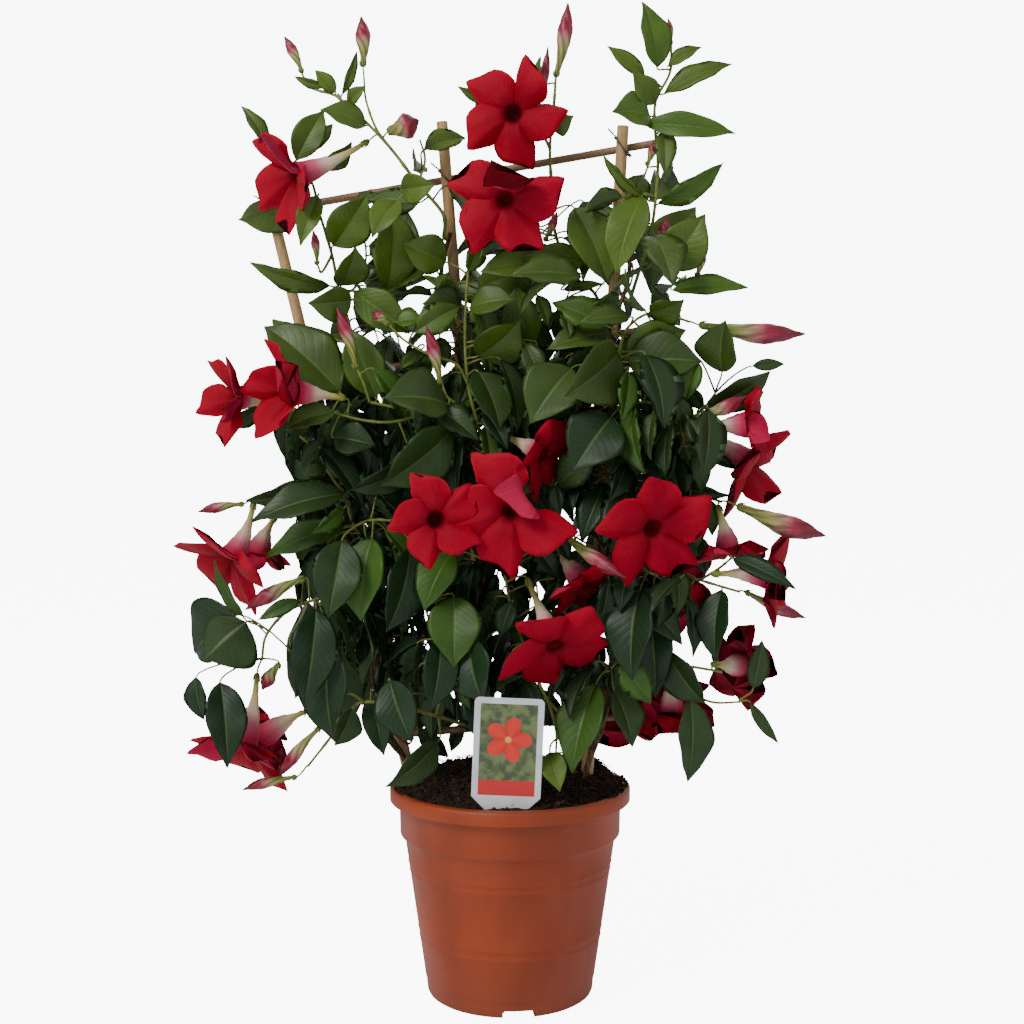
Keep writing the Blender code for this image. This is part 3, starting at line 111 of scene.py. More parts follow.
# Leafy stems: the vine that each grows from, then its own run, then its side stems
stemPlaces = {
    "shoot_crown_left": ("vine_middle", [
        [(443, 214, 12), (418, 184, 18), (392, 150, 20), (366, 122, 20), (345, 104, 18), (338, 94, 16)],
        [(345, 104, 18), (334, 95, 14), (312, 88, 10), (302, 74, 8)],
        [(392, 150, 20), (376, 128, 26), (366, 100, 26), (364, 78, 26)],
        [(418, 184, 18), (425, 160, -14), (420, 140, -34)],
    ]),
    "shoot_left_top": ("vine_left", [
        [(350, 384, -14), (350, 330, 2), (340, 296, 6), (332, 255, 2), (320, 215, -4), (308, 176, -8),
         (270, 150, -14)],
        [(332, 255, 2), (322, 272, 12), (318, 266, 14)],
        [(340, 296, 6), (356, 286, -30), (366, 258, -52), (362, 226, -60)],
    ]),
    "shoot_left_middle": ("vine_middle", [
        [(452, 436, 12), (425, 414, 26), (398, 408, 32), (370, 402, 34)],
        [(425, 414, 26), (392, 422, 34), (362, 420, 34), (330, 412, 26), (300, 412, 20)],
        [(370, 402, 34), (364, 384, 40), (354, 362, 42)],
    ]),
    "shoot_middle": ("vine_middle", [
        [(484, 452, 26), (478, 425, 38), (468, 384, 36), (465, 340, 30), (466, 300, 26), (468, 274, 22)],
        [(478, 425, 38), (462, 408, 44), (447, 396, 50), (440, 376, 52)],
        [(468, 384, 36), (456, 364, 40), (428, 354, 44), (404, 340, 44), (390, 326, 44)],
        [(478, 425, 38), (500, 419, -18), (512, 388, -46), (506, 344, -50)],
    ]),
    "shoot_crown": ("vine_right", [
        [(598, 300, 8), (575, 276, 22), (556, 236, 22), (552, 190, 22), (550, 148, 24), (554, 104, 26),
         (556, 74, 26)],
        [(550, 148, 24), (536, 122, 4), (520, 100, -18), (496, 96, -26)],
        [(556, 236, 22), (540, 232, -20), (522, 214, -44)],
    ]),
    "shoot_right_top": ("vine_right", [
        [(630, 300, 34), (642, 262, 42), (651, 230, 44), (655, 205, 44), (658, 165, 42), (655, 128, 38),
         (656, 100, 34), (670, 72, 30), (671, 40, 28)],
        [(651, 230, 44), (640, 224, 4), (640, 192, -24), (650, 160, -34)],
        [(642, 262, 42), (664, 272, 50), (688, 282, 54)],
    ]),
    "shoot_right_upper": ("vine_right", [
        [(620, 440, 44), (620, 410, 48), (620, 380, 52), (620, 350, 50), (630, 325, 48), (656, 312, 50),
         (690, 322, 54)],
        [(620, 410, 48), (642, 402, 58), (668, 410, 64), (690, 420, 66)],
        [(690, 420, 66), (704, 408, 60), (716, 392, 50)],
        [(690, 420, 66), (684, 440, 56), (672, 462, 46)],
        [(620, 380, 52), (634, 372, 0), (646, 352, -30), (660, 330, -38)],
    ]),
    "shoot_right": ("vine_right", [
        [(612, 476, 30), (650, 484, 34), (690, 492, 40), (722, 502, 44)],
        [(650, 484, 34), (664, 470, -4), (676, 440, -34)],
    ]),
    "shoot_right_middle": ("vine_right", [
        [(606, 560, 30), (638, 566, 34), (672, 570, 44), (700, 580, 52), (740, 592, 58)],
        [(700, 580, 52), (718, 569, 59), (734, 556, 62)],
        [(638, 566, 34), (652, 574, -6), (668, 580, -34), (690, 590, -52)],
    ]),
    "shoot_right_low": ("vine_right", [
        [(610, 668, 42), (622, 658, 40), (650, 656, 44), (676, 664, 50), (700, 668, 52), (722, 672, 48)],
        [(676, 664, 50), (688, 690, 56), (712, 702, 54), (740, 702, 50)],
        [(622, 658, 40), (636, 670, 0), (650, 676, -34), (664, 690, -50)],
    ]),
    "shoot_left": ("vine_left", [
        [(368, 540, 4), (354, 526, 20), (346, 500, 24), (330, 474, 22), (318, 452, 18), (300, 436, 14)],
        [(346, 500, 24), (300, 486, 24), (268, 492, 20), (254, 498, 16)],
        [(354, 526, 20), (372, 520, 40), (396, 521, 60)],
        [(346, 500, 24), (338, 500, -14), (322, 490, -40), (300, 480, -62)],
    ]),
    "shoot_left_low": ("vine_left", [
        [(368, 590, 6), (338, 594, 18), (308, 602, 22), (284, 614, 22), (266, 636, 20), (262, 660, 16)],
        [(308, 602, 22), (300, 620, -16), (290, 640, -44), (300, 668, -58)],
    ]),
    "shoot_low": ("vine_middle", [
        [(474, 728, 16), (436, 716, 34), (399, 706, 42), (364, 702, 44), (349, 711, 43), (330, 738, 36),
         (308, 766, 30)],
        [(364, 702, 44), (348, 693, 47), (326, 702, 36), (306, 710, 28)],
        [(436, 716, 34), (442, 688, 46), (436, 648, 50), (424, 602, 44)],
        [(399, 706, 42), (406, 690, 0), (416, 664, -34), (434, 630, -50)],
    ]),
    "shoot_low_right": ("vine_right", [
        [(572, 722, 30), (548, 700, 42), (530, 660, 48), (512, 610, 46), (504, 570, 40)],
        [(548, 700, 42), (556, 730, 44), (556, 752, 42)],
        [(548, 700, 42), (536, 690, -10), (520, 660, -44), (540, 600, -60)],
    ]),
}

# Blooms: the root of the tube, the middle of the mouth, and where the mouth faces as (right, up, near)
bloomRows = {
    "crown_left": ((368, 141, 18), (292, 176, 14), (-0.82, -0.28, 0.5), 62, 20, 30, (-6, 6, 0, -12, 10)),
    "crown": ((534, 130, 6), (512, 112, 50), (-0.15, 0.05, 0.95), 52, 32, -10, (10, 14, -6, 14, 10)),
    "middle_top": ((538, 226, 22), (505, 200, 62), (-0.1, -0.1, 0.95), 56, -22, -8, (10, 0, 0, 10, 0)),
    "left_upper": ((345, 398, 40), (290, 392, 54), (-0.8, 0.05, 0.55), 58, -10, 26, (0, 8, 10, 6, 0)),
    "left_outer": ((272, 406, 18), (234, 398, 28), (-0.82, 0.02, 0.5), 52, 16, 30, (0, 10, 0, 8, 0)),
    "left": ((254, 502, 16), (228, 560, 24), (-0.6, -0.7, 0.35), 62, 24, 12, (16, 0, 10, 0, 0)),
    "left_behind": ((276, 516, -8), (258, 556, -10), (-0.2, -0.9, -0.1), 40, 0, 30, (0, 0, 0, 0, 0)),
    "low_left": ((257, 674, 14), (243, 748, 22), (-0.3, -0.9, 0.3), 64, 30, 18, (14, 0, 10, 0, 0)),
    "low_left_behind": ((305, 712, 24), (262, 738, -8), (-0.6, -0.5, -0.4), 44, 0, 16, (0, 0, 0, 0, 0)),
    "front_left": ((398, 521, 62), (436, 520, 98), (0.1, 0.05, 0.98), 46, 4, 4, (0, 12, 10, 10, 0)),
    "front": ((504, 546, 44), (512, 510, 92), (-0.05, 0.12, 0.95), 62, 12, -8, (10, 10, 0, 10, 16)),
    "front_top": ((502, 434, 46), (548, 456, 70), (0.75, -0.35, 0.5), 46, 10, 10, (10, 0, 0, 0, 0)),
    "front_right": ((596, 492, 44), (655, 530, 84), (0.34, -0.25, 0.88), 58, -6, 0, (10, 0, 0, 10, 0)),
    "front_low": ((527, 579, 52), (556, 650, 84), (0.22, -0.6, 0.7), 60, 26, 0, (0, 10, 0, 0, 10)),
    "front_inner": ((550, 545, 42), (586, 590, 62), (0.45, -0.75, 0.35), 44, 10, 6, (0, 0, 10, 0, 0)),
    "right_upper": ((704, 423, 68), (752, 424, 74), (0.95, 0.1, 0.2), 44, 20, 30, (0, 10, 0, 0, 0)),
    "right_upper_low": ((704, 428, 62), (752, 464, 60), (0.82, -0.5, 0.25), 60, 6, 16, (16, 0, 0, 10, 0)),
    "right": ((718, 506, 42), (728, 556, 44), (0.05, -0.95, 0.2), 44, 12, 10, (0, 10, 0, 0, 0)),
    "right_middle": ((712, 574, 56), (772, 576, 60), (0.95, -0.1, 0.2), 52, 14, 24, (0, 10, 0, 10, 0)),
    "right_low": ((712, 664, 48), (744, 664, 20), (0.6, 0.0, -0.6), 44, 0, 0, (0, 0, 0, 0, 0)),
    "low_right": ((668, 674, 44), (672, 712, 24), (0.1, -0.7, -0.5), 46, 0, -6, (0, 0, 0, 0, 0)),
    "low_right_inner": ((630, 676, 8), (626, 724, -12), (0.0, -0.8, -0.5), 48, 20, -6, (0, 0, 0, 0, 0)),
    "back_top": ((516, 392, -58), (544, 412, -104), (0.2, -0.1, -0.95), 46, 16, -8, (0, 10, 0, 0, 0)),
    "back_middle": ((442, 560, -64), (440, 560, -112), (-0.1, 0.0, -0.95), 56, 8, -8, (0, 10, 0, 0, 0)),
    "back_right": ((676, 584, -58), (670, 592, -104), (0.2, -0.1, -0.9), 54, 30, -8, (0, 10, 0, 0, 0)),
}
bloomPlaces = {"bloom_" + name: bloomPlace(*row) for name, row in bloomRows.items()}

# Buds: root and pointed tip
budPlaces = [budPlace(*row) for row in (
    ((302, 72, 8), (284, 36, 6), 11), ((363, 66, 26), (361, 16, 26), 15),
    ((388, 132, 24), (419, 120, 26), 25), ((556, 76, 26), (568, 2, 26), 15),
    ((534, 118, 10), (548, 46, 8), 10), ((480, 132, -24), (477, 92, -28), 9),
    ((545, 240, 28), (557, 212, 34), 9), ((647, 165, 50), (655, 140, 54), 9),
    ((657, 252, 48), (667, 216, 50), 12), ((697, 276, 54), (703, 248, 56), 10),
    ((317, 264, 14), (313, 230, 14), 9), ((356, 368, 42), (336, 306, 44), 13),
    ((388, 324, 44), (372, 312, 44), 11), ((440, 384, 52), (426, 326, 56), 13),
    ((700, 325, 54), (806, 334, 54), 20), ((696, 418, 70), (748, 396, 78), 14),
    ((738, 506, 46), (826, 536, 48), 22), ((746, 592, 60), (806, 618, 62), 13),
    ((243, 504, 14), (198, 512, 14), 11), ((304, 578, 30), (245, 610, 34), 16),
    ((279, 664, 12), (262, 690, 10), 15), ((319, 728, 36), (278, 778, 32), 13),
    ((296, 777, 30), (242, 790, 30), 11), ((562, 532, 62), (626, 578, 92), 15),
    ((671, 44, 28), (668, 18, 28), 7),
)]

# Leaves: root and tip as (u, v), near at the root and at the tip, and width in pixels
leafPlaces = [leafPlace(*row) for row in (
    ((342, 95), (357, 50), (18, 20), 10), ((336, 93), (315, 70), (14, 16), 16),
    ((326, 86), (294, 76), (12, 10), 10), ((366, 126), (320, 110), (22, 34), 24),
    ((348, 104), (366, 86), (22, 30), 14), ((402, 190), (436, 184), (26, 46), 30),
    ((398, 200), (372, 238), (26, 42), 28), ((424, 150), (466, 138), (10, -6), 22),
    ((268, 147), (241, 106), (-16, -20), 16), ((296, 160), (324, 110), (-14, -22), 32),
    ((310, 152), (333, 124), (-24, -34), 18), ((322, 168), (352, 142), (2, 16), 20),
    ((302, 196), (238, 220), (-26, -40), 40), ((318, 196), (300, 246), (14, 30), 24),
    ((333, 246), (367, 194), (12, 22), 44), ((330, 286), (250, 262), (18, 32), 22),
    ((341, 286), (355, 246), (24, 40), 32), ((352, 300), (308, 303), (32, 60), 34),
    ((354, 292), (410, 334), (26, 38), 38), ((387, 290), (391, 206), (6, 10), 46),
    ((396, 322), (424, 320), (34, 36), 20), ((340, 392), (264, 326), (24, 8), 56),
    ((376, 398), (350, 328), (18, 12), 42), ((330, 336), (350, 332), (-20, -24), 24),
    ((335, 412), (284, 430), (40, 54), 24), ((262, 404), (228, 428), (4, 2), 18),
    ((446, 262), (402, 244), (8, 22), 40), ((462, 308), (422, 304), (16, 26), 34),
    ((470, 308), (516, 300), (30, 44), 28), ((468, 272), (478, 234), (22, 24), 20),
    ((478, 288), (540, 268), (14, 2), 44), ((530, 344), (516, 284), (14, 26), 40),
    ((478, 356), (520, 320), (38, 52), 46), ((478, 372), (500, 430), (46, 62), 44),
    ((572, 368), (530, 424), (62, 78), 56), ((612, 416), (572, 472), (70, 90), 58),
    ((618, 352), (564, 396), (54, 74), 56), ((612, 334), (546, 350), (44, 54), 26),
    ((628, 362), (702, 362), (56, 66), 50), ((626, 352), (686, 330), (50, 50), 40),
    ((622, 412), (640, 480), (40, 56), 62), ((722, 372), (726, 320), (58, 60), 40),
    ((706, 408), (771, 371), (58, 56), 28), ((752, 366), (785, 364), (50, 50), 12),
    ((704, 408), (688, 386), (50, 44), 16), ((657, 68), (642, 2), (30, 24), 28),
    ((668, 66), (702, 47), (34, 38), 14), ((645, 76), (607, 46), (34, 38), 16),
    ((655, 104), (632, 72), (40, 52), 24), ((664, 94), (733, 64), (36, 44), 20),
    ((650, 116), (612, 112), (44, 60), 32), ((644, 124), (737, 134), (46, 62), 24),
    ((664, 131), (665, 176), (48, 62), 22), ((658, 204), (724, 162), (50, 62), 22),
    ((648, 200), (602, 153), (48, 56), 12), ((642, 196), (616, 276), (52, 66), 40),
    ((668, 270), (705, 214), (52, 64), 46), ((672, 290), (748, 288), (56, 62), 20),
    ((650, 312), (684, 300), (54, 68), 26), ((574, 208), (608, 286), (30, 40), 48),
    ((584, 262), (524, 256), (28, 36), 32), ((540, 262), (480, 272), (24, 34), 30),
    ((538, 84), (541, 56), (18, 14), 8), ((548, 120), (574, 116), (30, 46), 26),
    ((492, 104), (457, 86), (-26, -32), 12), ((562, 290), (606, 284), (16, 22), 10),
    ((345, 494), (252, 522), (26, 40), 34), ((334, 478), (246, 500), (20, 26), 30),
    ((322, 440), (302, 468), (18, 24), 18), ((326, 466), (302, 476), (30, 40), 14),
    ((344, 508), (312, 533), (34, 50), 18), ((344, 528), (266, 558), (14, 8), 28),
    ((334, 438), (376, 446), (26, 34), 34), ((342, 540), (328, 618), (56, 74), 48),
    ((372, 538), (361, 621), (44, 58), 46), ((410, 548), (386, 632), (50, 62), 44),
    ((452, 552), (424, 611), (44, 64), 38), ((454, 596), (454, 668), (52, 72), 52),
    ((452, 430), (380, 486), (50, 74), 50), ((448, 404), (384, 398), (52, 70), 46),
    ((410, 466), (350, 490), (30, 44), 26), ((300, 600), (258, 620), (28, 36), 16),
    ((246, 622), (204, 660), (26, 34), 64, 20, -0.3), ((244, 618), (214, 560), (30, 44), 12),
    ((196, 677), (204, 720), (20, 22), 22), ((220, 682), (227, 768), (28, 40), 40),
    ((316, 608), (304, 706), (36, 52), 46), ((330, 640), (334, 742), (22, 32), 50),
    ((352, 708), (334, 746), (50, 56), 26), ((390, 680), (412, 742), (54, 66), 42),
    ((372, 690), (384, 756), (28, 30), 28), ((438, 742), (386, 787), (46, 78), 30),
    ((470, 640), (484, 704), (62, 80), 46), ((440, 640), (430, 712), (64, 70), 36),
    ((550, 752), (560, 792), (70, 92), 26), ((596, 684), (572, 773), (62, 86), 44),
    ((614, 690), (632, 747), (50, 62), 30), ((640, 590), (632, 680), (62, 80), 46),
    ((650, 610), (656, 698), (46, 58), 36), ((630, 588), (682, 645), (48, 58), 34),
    ((668, 652), (706, 704), (54, 62), 34), ((690, 700), (687, 782), (60, 72), 34),
    ((753, 689), (762, 640), (50, 46), 22), ((750, 702), (779, 744), (50, 56), 12),
    ((688, 596), (693, 657), (54, 58), 18), ((722, 590), (716, 661), (56, 62), 32),
    ((732, 558), (796, 589), (60, 66), 20), ((697, 448), (738, 470), (46, 40), 12),
    ((668, 482), (730, 495), (38, 46), 18), ((704, 498), (712, 536), (38, 42), 18),
    ((676, 458), (690, 474), (46, 48), 12),
)]

# Leaves on the far side: each wide leaf has a partner behind the trellis, shifted by these pixels
backLeastWidth = 46
backShift = (9, -7)
backDepth = 34

# Steps in mm that a leaf's or a bloom's root and tip may take towards or away from the view
depthSteps = [
    (0, 0), (0, 10), (0, -10), (8, 8), (-8, -8), (8, 20), (-8, -20), (16, 16), (-16, -16), (4, 28), (-4, -28),
    (16, 30), (-16, -30), (26, 26), (-26, -26), (26, 44), (-26, -44), (36, 36), (-36, -36), (48, 48),
    (-48, -48),
]


def nearestBetween(lineA, lineB):
    # the points of two lines that are closest to each other
    startA, endA = lineA
    startB, endB = lineB
    runA = endA - startA
    runB = endB - startB
    between = runA.cross(runB)
    offset = startB - startA
    shareA = offset.cross(runB).dot(between) / between.length_squared
    shareB = offset.cross(runA).dot(between) / between.length_squared
    return startA + runA * shareA, startB + runB * shareB


def smoothRun(points, count):
    # Catmull-Rom points along given ones
    ends = [points[0] * 2 - points[1], *points, points[-1] * 2 - points[-2]]
    found = []
    for index in range(count):
        place = index / (count - 1) * (len(points) - 1)
        first = min(int(place), len(points) - 2)
        t = place - first
        a, b, c, d = ends[first:first + 4]
        curved = b * 2 + (c - a) * t + (a * 2 - b * 5 + c * 4 - d) * t * t + (b * 3 - a - c * 3 + d) * t ** 3
        found.append(curved / 2)
    return found


def easeInto(low, high, value):
    share = min(1.0, max(0.0, (value - low) / (high - low)))
    return share * share * (3.0 - 2.0 * share)


def alongTable(table, value):
    # a smooth value between the entries of a table of (place, value)
    for (low, first), (high, second) in zip(table, table[1:]):
        if value <= high:
            return first + (second - first) * easeInto(low, high, value)
    return table[-1][1]


# Mesh helpers: a heap gathers points, faces, (u, v) marks and traits for one piece


def newHeap():
    return {"points": [], "faces": [], "marks": [], "traits": []}


def signedVolume(points, face):
    # positive where the face looks away from the middle of its solid
    corner = points[face[0]]
    return sum(corner.dot(points[second].cross(points[third])) for second, third in zip(face[1:], face[2:]))


def addLoft(heap, rings, marks, traits):
    # closed rings joined into a skin with closed ends; marks and traits follow the rings
    base = len(heap["points"])
    firstFace = len(heap["faces"])
    width = len(rings[0])
    for ring, markRing, traitRing in zip(rings, marks, traits):
        heap["points"] += ring
        heap["marks"] += markRing
        heap["traits"] += traitRing
    for row in range(len(rings) - 1):
        for column in range(width):
            after = (column + 1) % width
            low = base + row * width
            heap["faces"].append((low + column, low + after, low + width + after, low + width + column))
    heap["faces"].append(tuple(base + column for column in reversed(range(width))))
    last = base + (len(rings) - 1) * width
    heap["faces"].append(tuple(last + column for column in range(width)))
    added = heap["faces"][firstFace:]
    if sum(signedVolume(heap["points"], face) for face in added) < 0:
        heap["faces"][firstFace:] = [face[::-1] for face in added]


def turningFrames(points):
    # a side and an up direction at each point that don't twist along the run
    headings = []
    for index in range(len(points)):
        ahead = points[min(index + 1, len(points) - 1)] - points[max(index - 1, 0)]
        headings.append(ahead.normalized())
    start = Vector((0, 0, 1)) if abs(headings[0].z) < 0.9 else Vector((1, 0, 0))
    side = headings[0].cross(start).normalized()
    made = []
    for heading in headings:
        side = (side - heading * side.dot(heading)).normalized()
        made.append((side, heading.cross(side).normalized(), heading))
    return made


def addTube(heap, points, radii, sides, traits, flute=0.0, twist=0.0):
    # a round or fluted tube along the points
    rings = []
    marks = []
    traitRings = []
    for index, (place, radius, (side, up, heading)) in enumerate(zip(points, radii, turningFrames(points))):
        ring = []
        for column in range(sides):
            angle = math.tau * column / sides
            reach = radius * (1.0 + flute * math.cos(5 * (angle + twist * index)))
            ring.append(place + (side * math.cos(angle) + up * math.sin(angle)) * reach)
        rings.append(ring)
        share = index / (len(points) - 1)
        marks.append([(column / sides, share) for column in range(sides)])
        trait = traits(share) if callable(traits) else traits
        traitRings.append([trait] * sides)
    addLoft(heap, rings, marks, traitRings)


def meshFrom(bm, name):
    mesh = bpy.data.meshes.new(name)
    bm.to_mesh(mesh)
    bm.free()
    return mesh


def finishMesh(mesh, merge=0.0):
    # faces look outwards and are smoothly shaded
    bm = bmesh.new()
    bm.from_mesh(mesh)
    if merge:
        bmesh.ops.remove_doubles(bm, verts=bm.verts, dist=merge)
    bmesh.ops.recalc_face_normals(bm, faces=bm.faces)
    bm.to_mesh(mesh)
    bm.free()
    mesh.polygons.foreach_set("use_smooth", [True] * len(mesh.polygons))
    return mesh


def meshOfHeap(name, heap):
    mesh = bpy.data.meshes.new(name)
    mesh.from_pydata(heap["points"], [], heap["faces"])
    mesh.polygons.foreach_set("use_smooth", [True] * len(mesh.polygons))
    places = mesh.uv_layers.new(name="places")
    for loop in mesh.loops:
        places.data[loop.index].uv = heap["marks"][loop.vertex_index]
    traits = mesh.attributes.new("traits", "FLOAT_COLOR", "POINT")
    for index, trait in enumerate(heap["traits"]):
        traits.data[index].color = (*trait, 1.0)
    return mesh


def newObject(name, data):
    made = bpy.data.objects.new(name, data)
    bpy.context.scene.collection.objects.link(made)
    return made


def titleOf(node):
    # the words of a node's name after its kind, run together
    return "".join(word.capitalize() for word in node.split("_")[1:])


def addPiece(name, mesh, finish, slotName, *replaced):
    # a finished piece rides on the one body, and stands for the CAD nodes that it names
    piece = newObject(name, mesh)
    mesh.materials.clear()
    mesh.materials.append(finish)
    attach(piece, "root")
    if replaced:
        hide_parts(*replaced)


def addHeap(name, heap, finish, slotName, *replaced):
    addPiece(name, meshOfHeap(name, heap), finish, slotName, *replaced)


def applyModifiers(piece):
    # builds an object's modifiers into a plain mesh
    evaluated = piece.evaluated_get(bpy.context.evaluated_depsgraph_get())
    mesh = bpy.data.meshes.new_from_object(evaluated)
    piece.modifiers.clear()
    return mesh


# Shader helpers
def putNode(tree, kind, inputs=None, **settings):
    node = tree.nodes.new(kind)
    for key, value in settings.items():
        setattr(node, key, value)
    for key, value in (inputs or {}).items():
        if isinstance(value, bpy.types.NodeSocket):
            tree.links.new(value, node.inputs[key])
        elif isinstance(value, tuple) and len(value) == 3 and node.inputs[key].type == "RGBA":
            node.inputs[key].default_value = (*value, 1.0)
        else:
            node.inputs[key].default_value = value
    return node


def calc(tree, operation, first, second=0.0):
    return putNode(tree, "ShaderNodeMath", {0: first, 1: second}, operation=operation).outputs[0]


def times(tree, first, second):
    return calc(tree, "MULTIPLY", first, second)


def plus(tree, first, second):
    return calc(tree, "ADD", first, second)


def oneLess(tree, value):
    return calc(tree, "SUBTRACT", 1.0, value)


def blendColours(tree, share, first, second):
    return putNode(tree, "ShaderNodeMix", {0: share, 6: first, 7: second}, data_type="RGBA").outputs[2]


def smoothBand(tree, value, low, high):
    # 0 below low, 1 above high
    given = {0: value, 1: low, 2: high}
    return putNode(tree, "ShaderNodeMapRange", given, interpolation_type="SMOOTHSTEP").outputs[0]


def colourRun(tree, value, *stops):
    # colours along a value, each as (place, colour), the first at 0 and the last at 1
    ramp = putNode(tree, "ShaderNodeValToRGB", {0: value})
    marks = ramp.color_ramp.elements
    for mark, (place, colour) in zip((marks[0], marks[1]), (stops[0], stops[-1])):
        mark.position = place
        mark.color = (*colour, 1.0)
    for place, colour in stops[1:-1]:
        marks.new(place).color = (*colour, 1.0)
    return ramp.outputs[0]


def setLook(tree, shader, colour, value=None, spread=0.0, least=0.0):
    # the base colour, and a roughness that varies with a value
    tree.links.new(colour, shader.inputs["Base Color"])
    if value is not None:
        tree.links.new(plus(tree, times(tree, value, spread), least), shader.inputs["Roughness"])


def newFinish(name, roughness, specular=0.5, **plain):
    finish = bpy.data.materials.new(name)
    finish.use_nodes = True
    tree = finish.node_tree
    shader = tree.nodes["Principled BSDF"]
    shader.inputs["Roughness"].default_value = roughness
    shader.inputs["Specular IOR Level"].default_value = specular
    for key, value in plain.items():
        shader.inputs[key.replace("_", " ")].default_value = value
    return finish, tree, shader


def splitTraits(tree):
    traits = putNode(tree, "ShaderNodeAttribute", attribute_name="traits", attribute_type="GEOMETRY")
    return putNode(tree, "ShaderNodeSeparateColor", {0: traits.outputs["Color"]}).outputs


def splitMarks(tree):
    marks = putNode(tree, "ShaderNodeUVMap", uv_map="places")
    return putNode(tree, "ShaderNodeSeparateXYZ", {0: marks.outputs[0]}).outputs[:2]


def groupSockets(tree, inputs, outputs):
    for name, kind, value in inputs:
        socket = tree.interface.new_socket(name, in_out="INPUT", socket_type="NodeSocket" + kind)
        if value is not None:
            socket.default_value = value
    for name, kind in outputs:
        tree.interface.new_socket(name, in_out="OUTPUT", socket_type="NodeSocket" + kind)
    return tree.nodes.new("NodeGroupInput").outputs, tree.nodes.new("NodeGroupOutput").inputs


def noiseValue(tree, vector, size, detail):
    return putNode(tree, "ShaderNodeTexNoise", {"Vector": vector, "Scale": size, "Detail": detail}).outputs[0]


def buildMottle():
    # uneven tone: noise between two colours, stretched by its own vector, with the raw value for roughness
    group = bpy.data.node_groups.new("mottle", "ShaderNodeTree")
    given, wanted = groupSockets(
        group,
        [
            ("First", "Color", (0.5, 0.5, 0.5, 1.0)),
            ("Second", "Color", (0.4, 0.4, 0.4, 1.0)),
            ("Vector", "Vector", None),
            ("Size", "Float", 60.0),
            ("Low", "Float", 0.35),
            ("High", "Float", 0.65),
        ],
        [("Color", "Color"), ("Value", "Float")],
    )
    cloud = noiseValue(group, given["Vector"], given["Size"], 5.0)
    band = smoothBand(group, cloud, given["Low"], given["High"])
    group.links.new(blendColours(group, band, given["First"], given["Second"]), wanted["Color"])
    group.links.new(band, wanted["Value"])
    return group


def buildRelief():
    # fine surface relief: a noise height and a drawn height together, as a normal
    group = bpy.data.node_groups.new("relief", "ShaderNodeTree")
    given, wanted = groupSockets(
        group,
        [
            ("Vector", "Vector", None),
            ("Size", "Float", 900.0),
            ("Grain", "Float", 0.3),
            ("Drawn", "Float", 0.0),
            ("Strength", "Float", 0.3),
            ("Depth", "Float", 0.001),
        ],
        [("Normal", "Vector")],
    )
    cloud = noiseValue(group, given["Vector"], given["Size"], 3.0)
    height = plus(group, times(group, cloud, given["Grain"]), given["Drawn"])
    sizes = {"Height": height, "Strength": given["Strength"], "Distance": given["Depth"]}
    bump = putNode(group, "ShaderNodeBump", sizes)
    group.links.new(bump.outputs[0], wanted["Normal"])
    return group


mottle = buildMottle()
relief = buildRelief()


def useMottle(tree, first, second, vector, size, low=0.35, high=0.65):
    given = {"First": first, "Second": second, "Vector": vector, "Size": size, "Low": low, "High": high}
    return putNode(tree, "ShaderNodeGroup", given, node_tree=mottle).outputs


def useRelief(tree, shader, vector, size, grain, drawn=0.0, strength=0.3, depth=0.001):
    given = {"Vector": vector, "Size": size, "Grain": grain, "Drawn": drawn, "Strength": strength, "Depth": depth}
    node = putNode(tree, "ShaderNodeGroup", given, node_tree=relief)
    tree.links.new(node.outputs["Normal"], shader.inputs["Normal"])


def objectPlaces(tree, scale=(1.0, 1.0, 1.0)):
    places = putNode(tree, "ShaderNodeTexCoord")
    mapping = putNode(tree, "ShaderNodeMapping", {"Vector": places.outputs["Object"], "Scale": scale})
    return mapping.outputs[0]


print("helpers ready")


# Finishes
leafLook = {
    "old": (0.010, 0.034, 0.010),  # the dark, low leaves
    "young": (0.092, 0.155, 0.012),  # the fresh leaves at the top
    "fresh": (0.060, 0.150, 0.008),  # a bright leaf here and there
    "under": (0.115, 0.185, 0.055),
    "vein": (0.13, 0.21, 0.05),
    "roughness": 0.44,
    "sideVeins": 9.0,
}


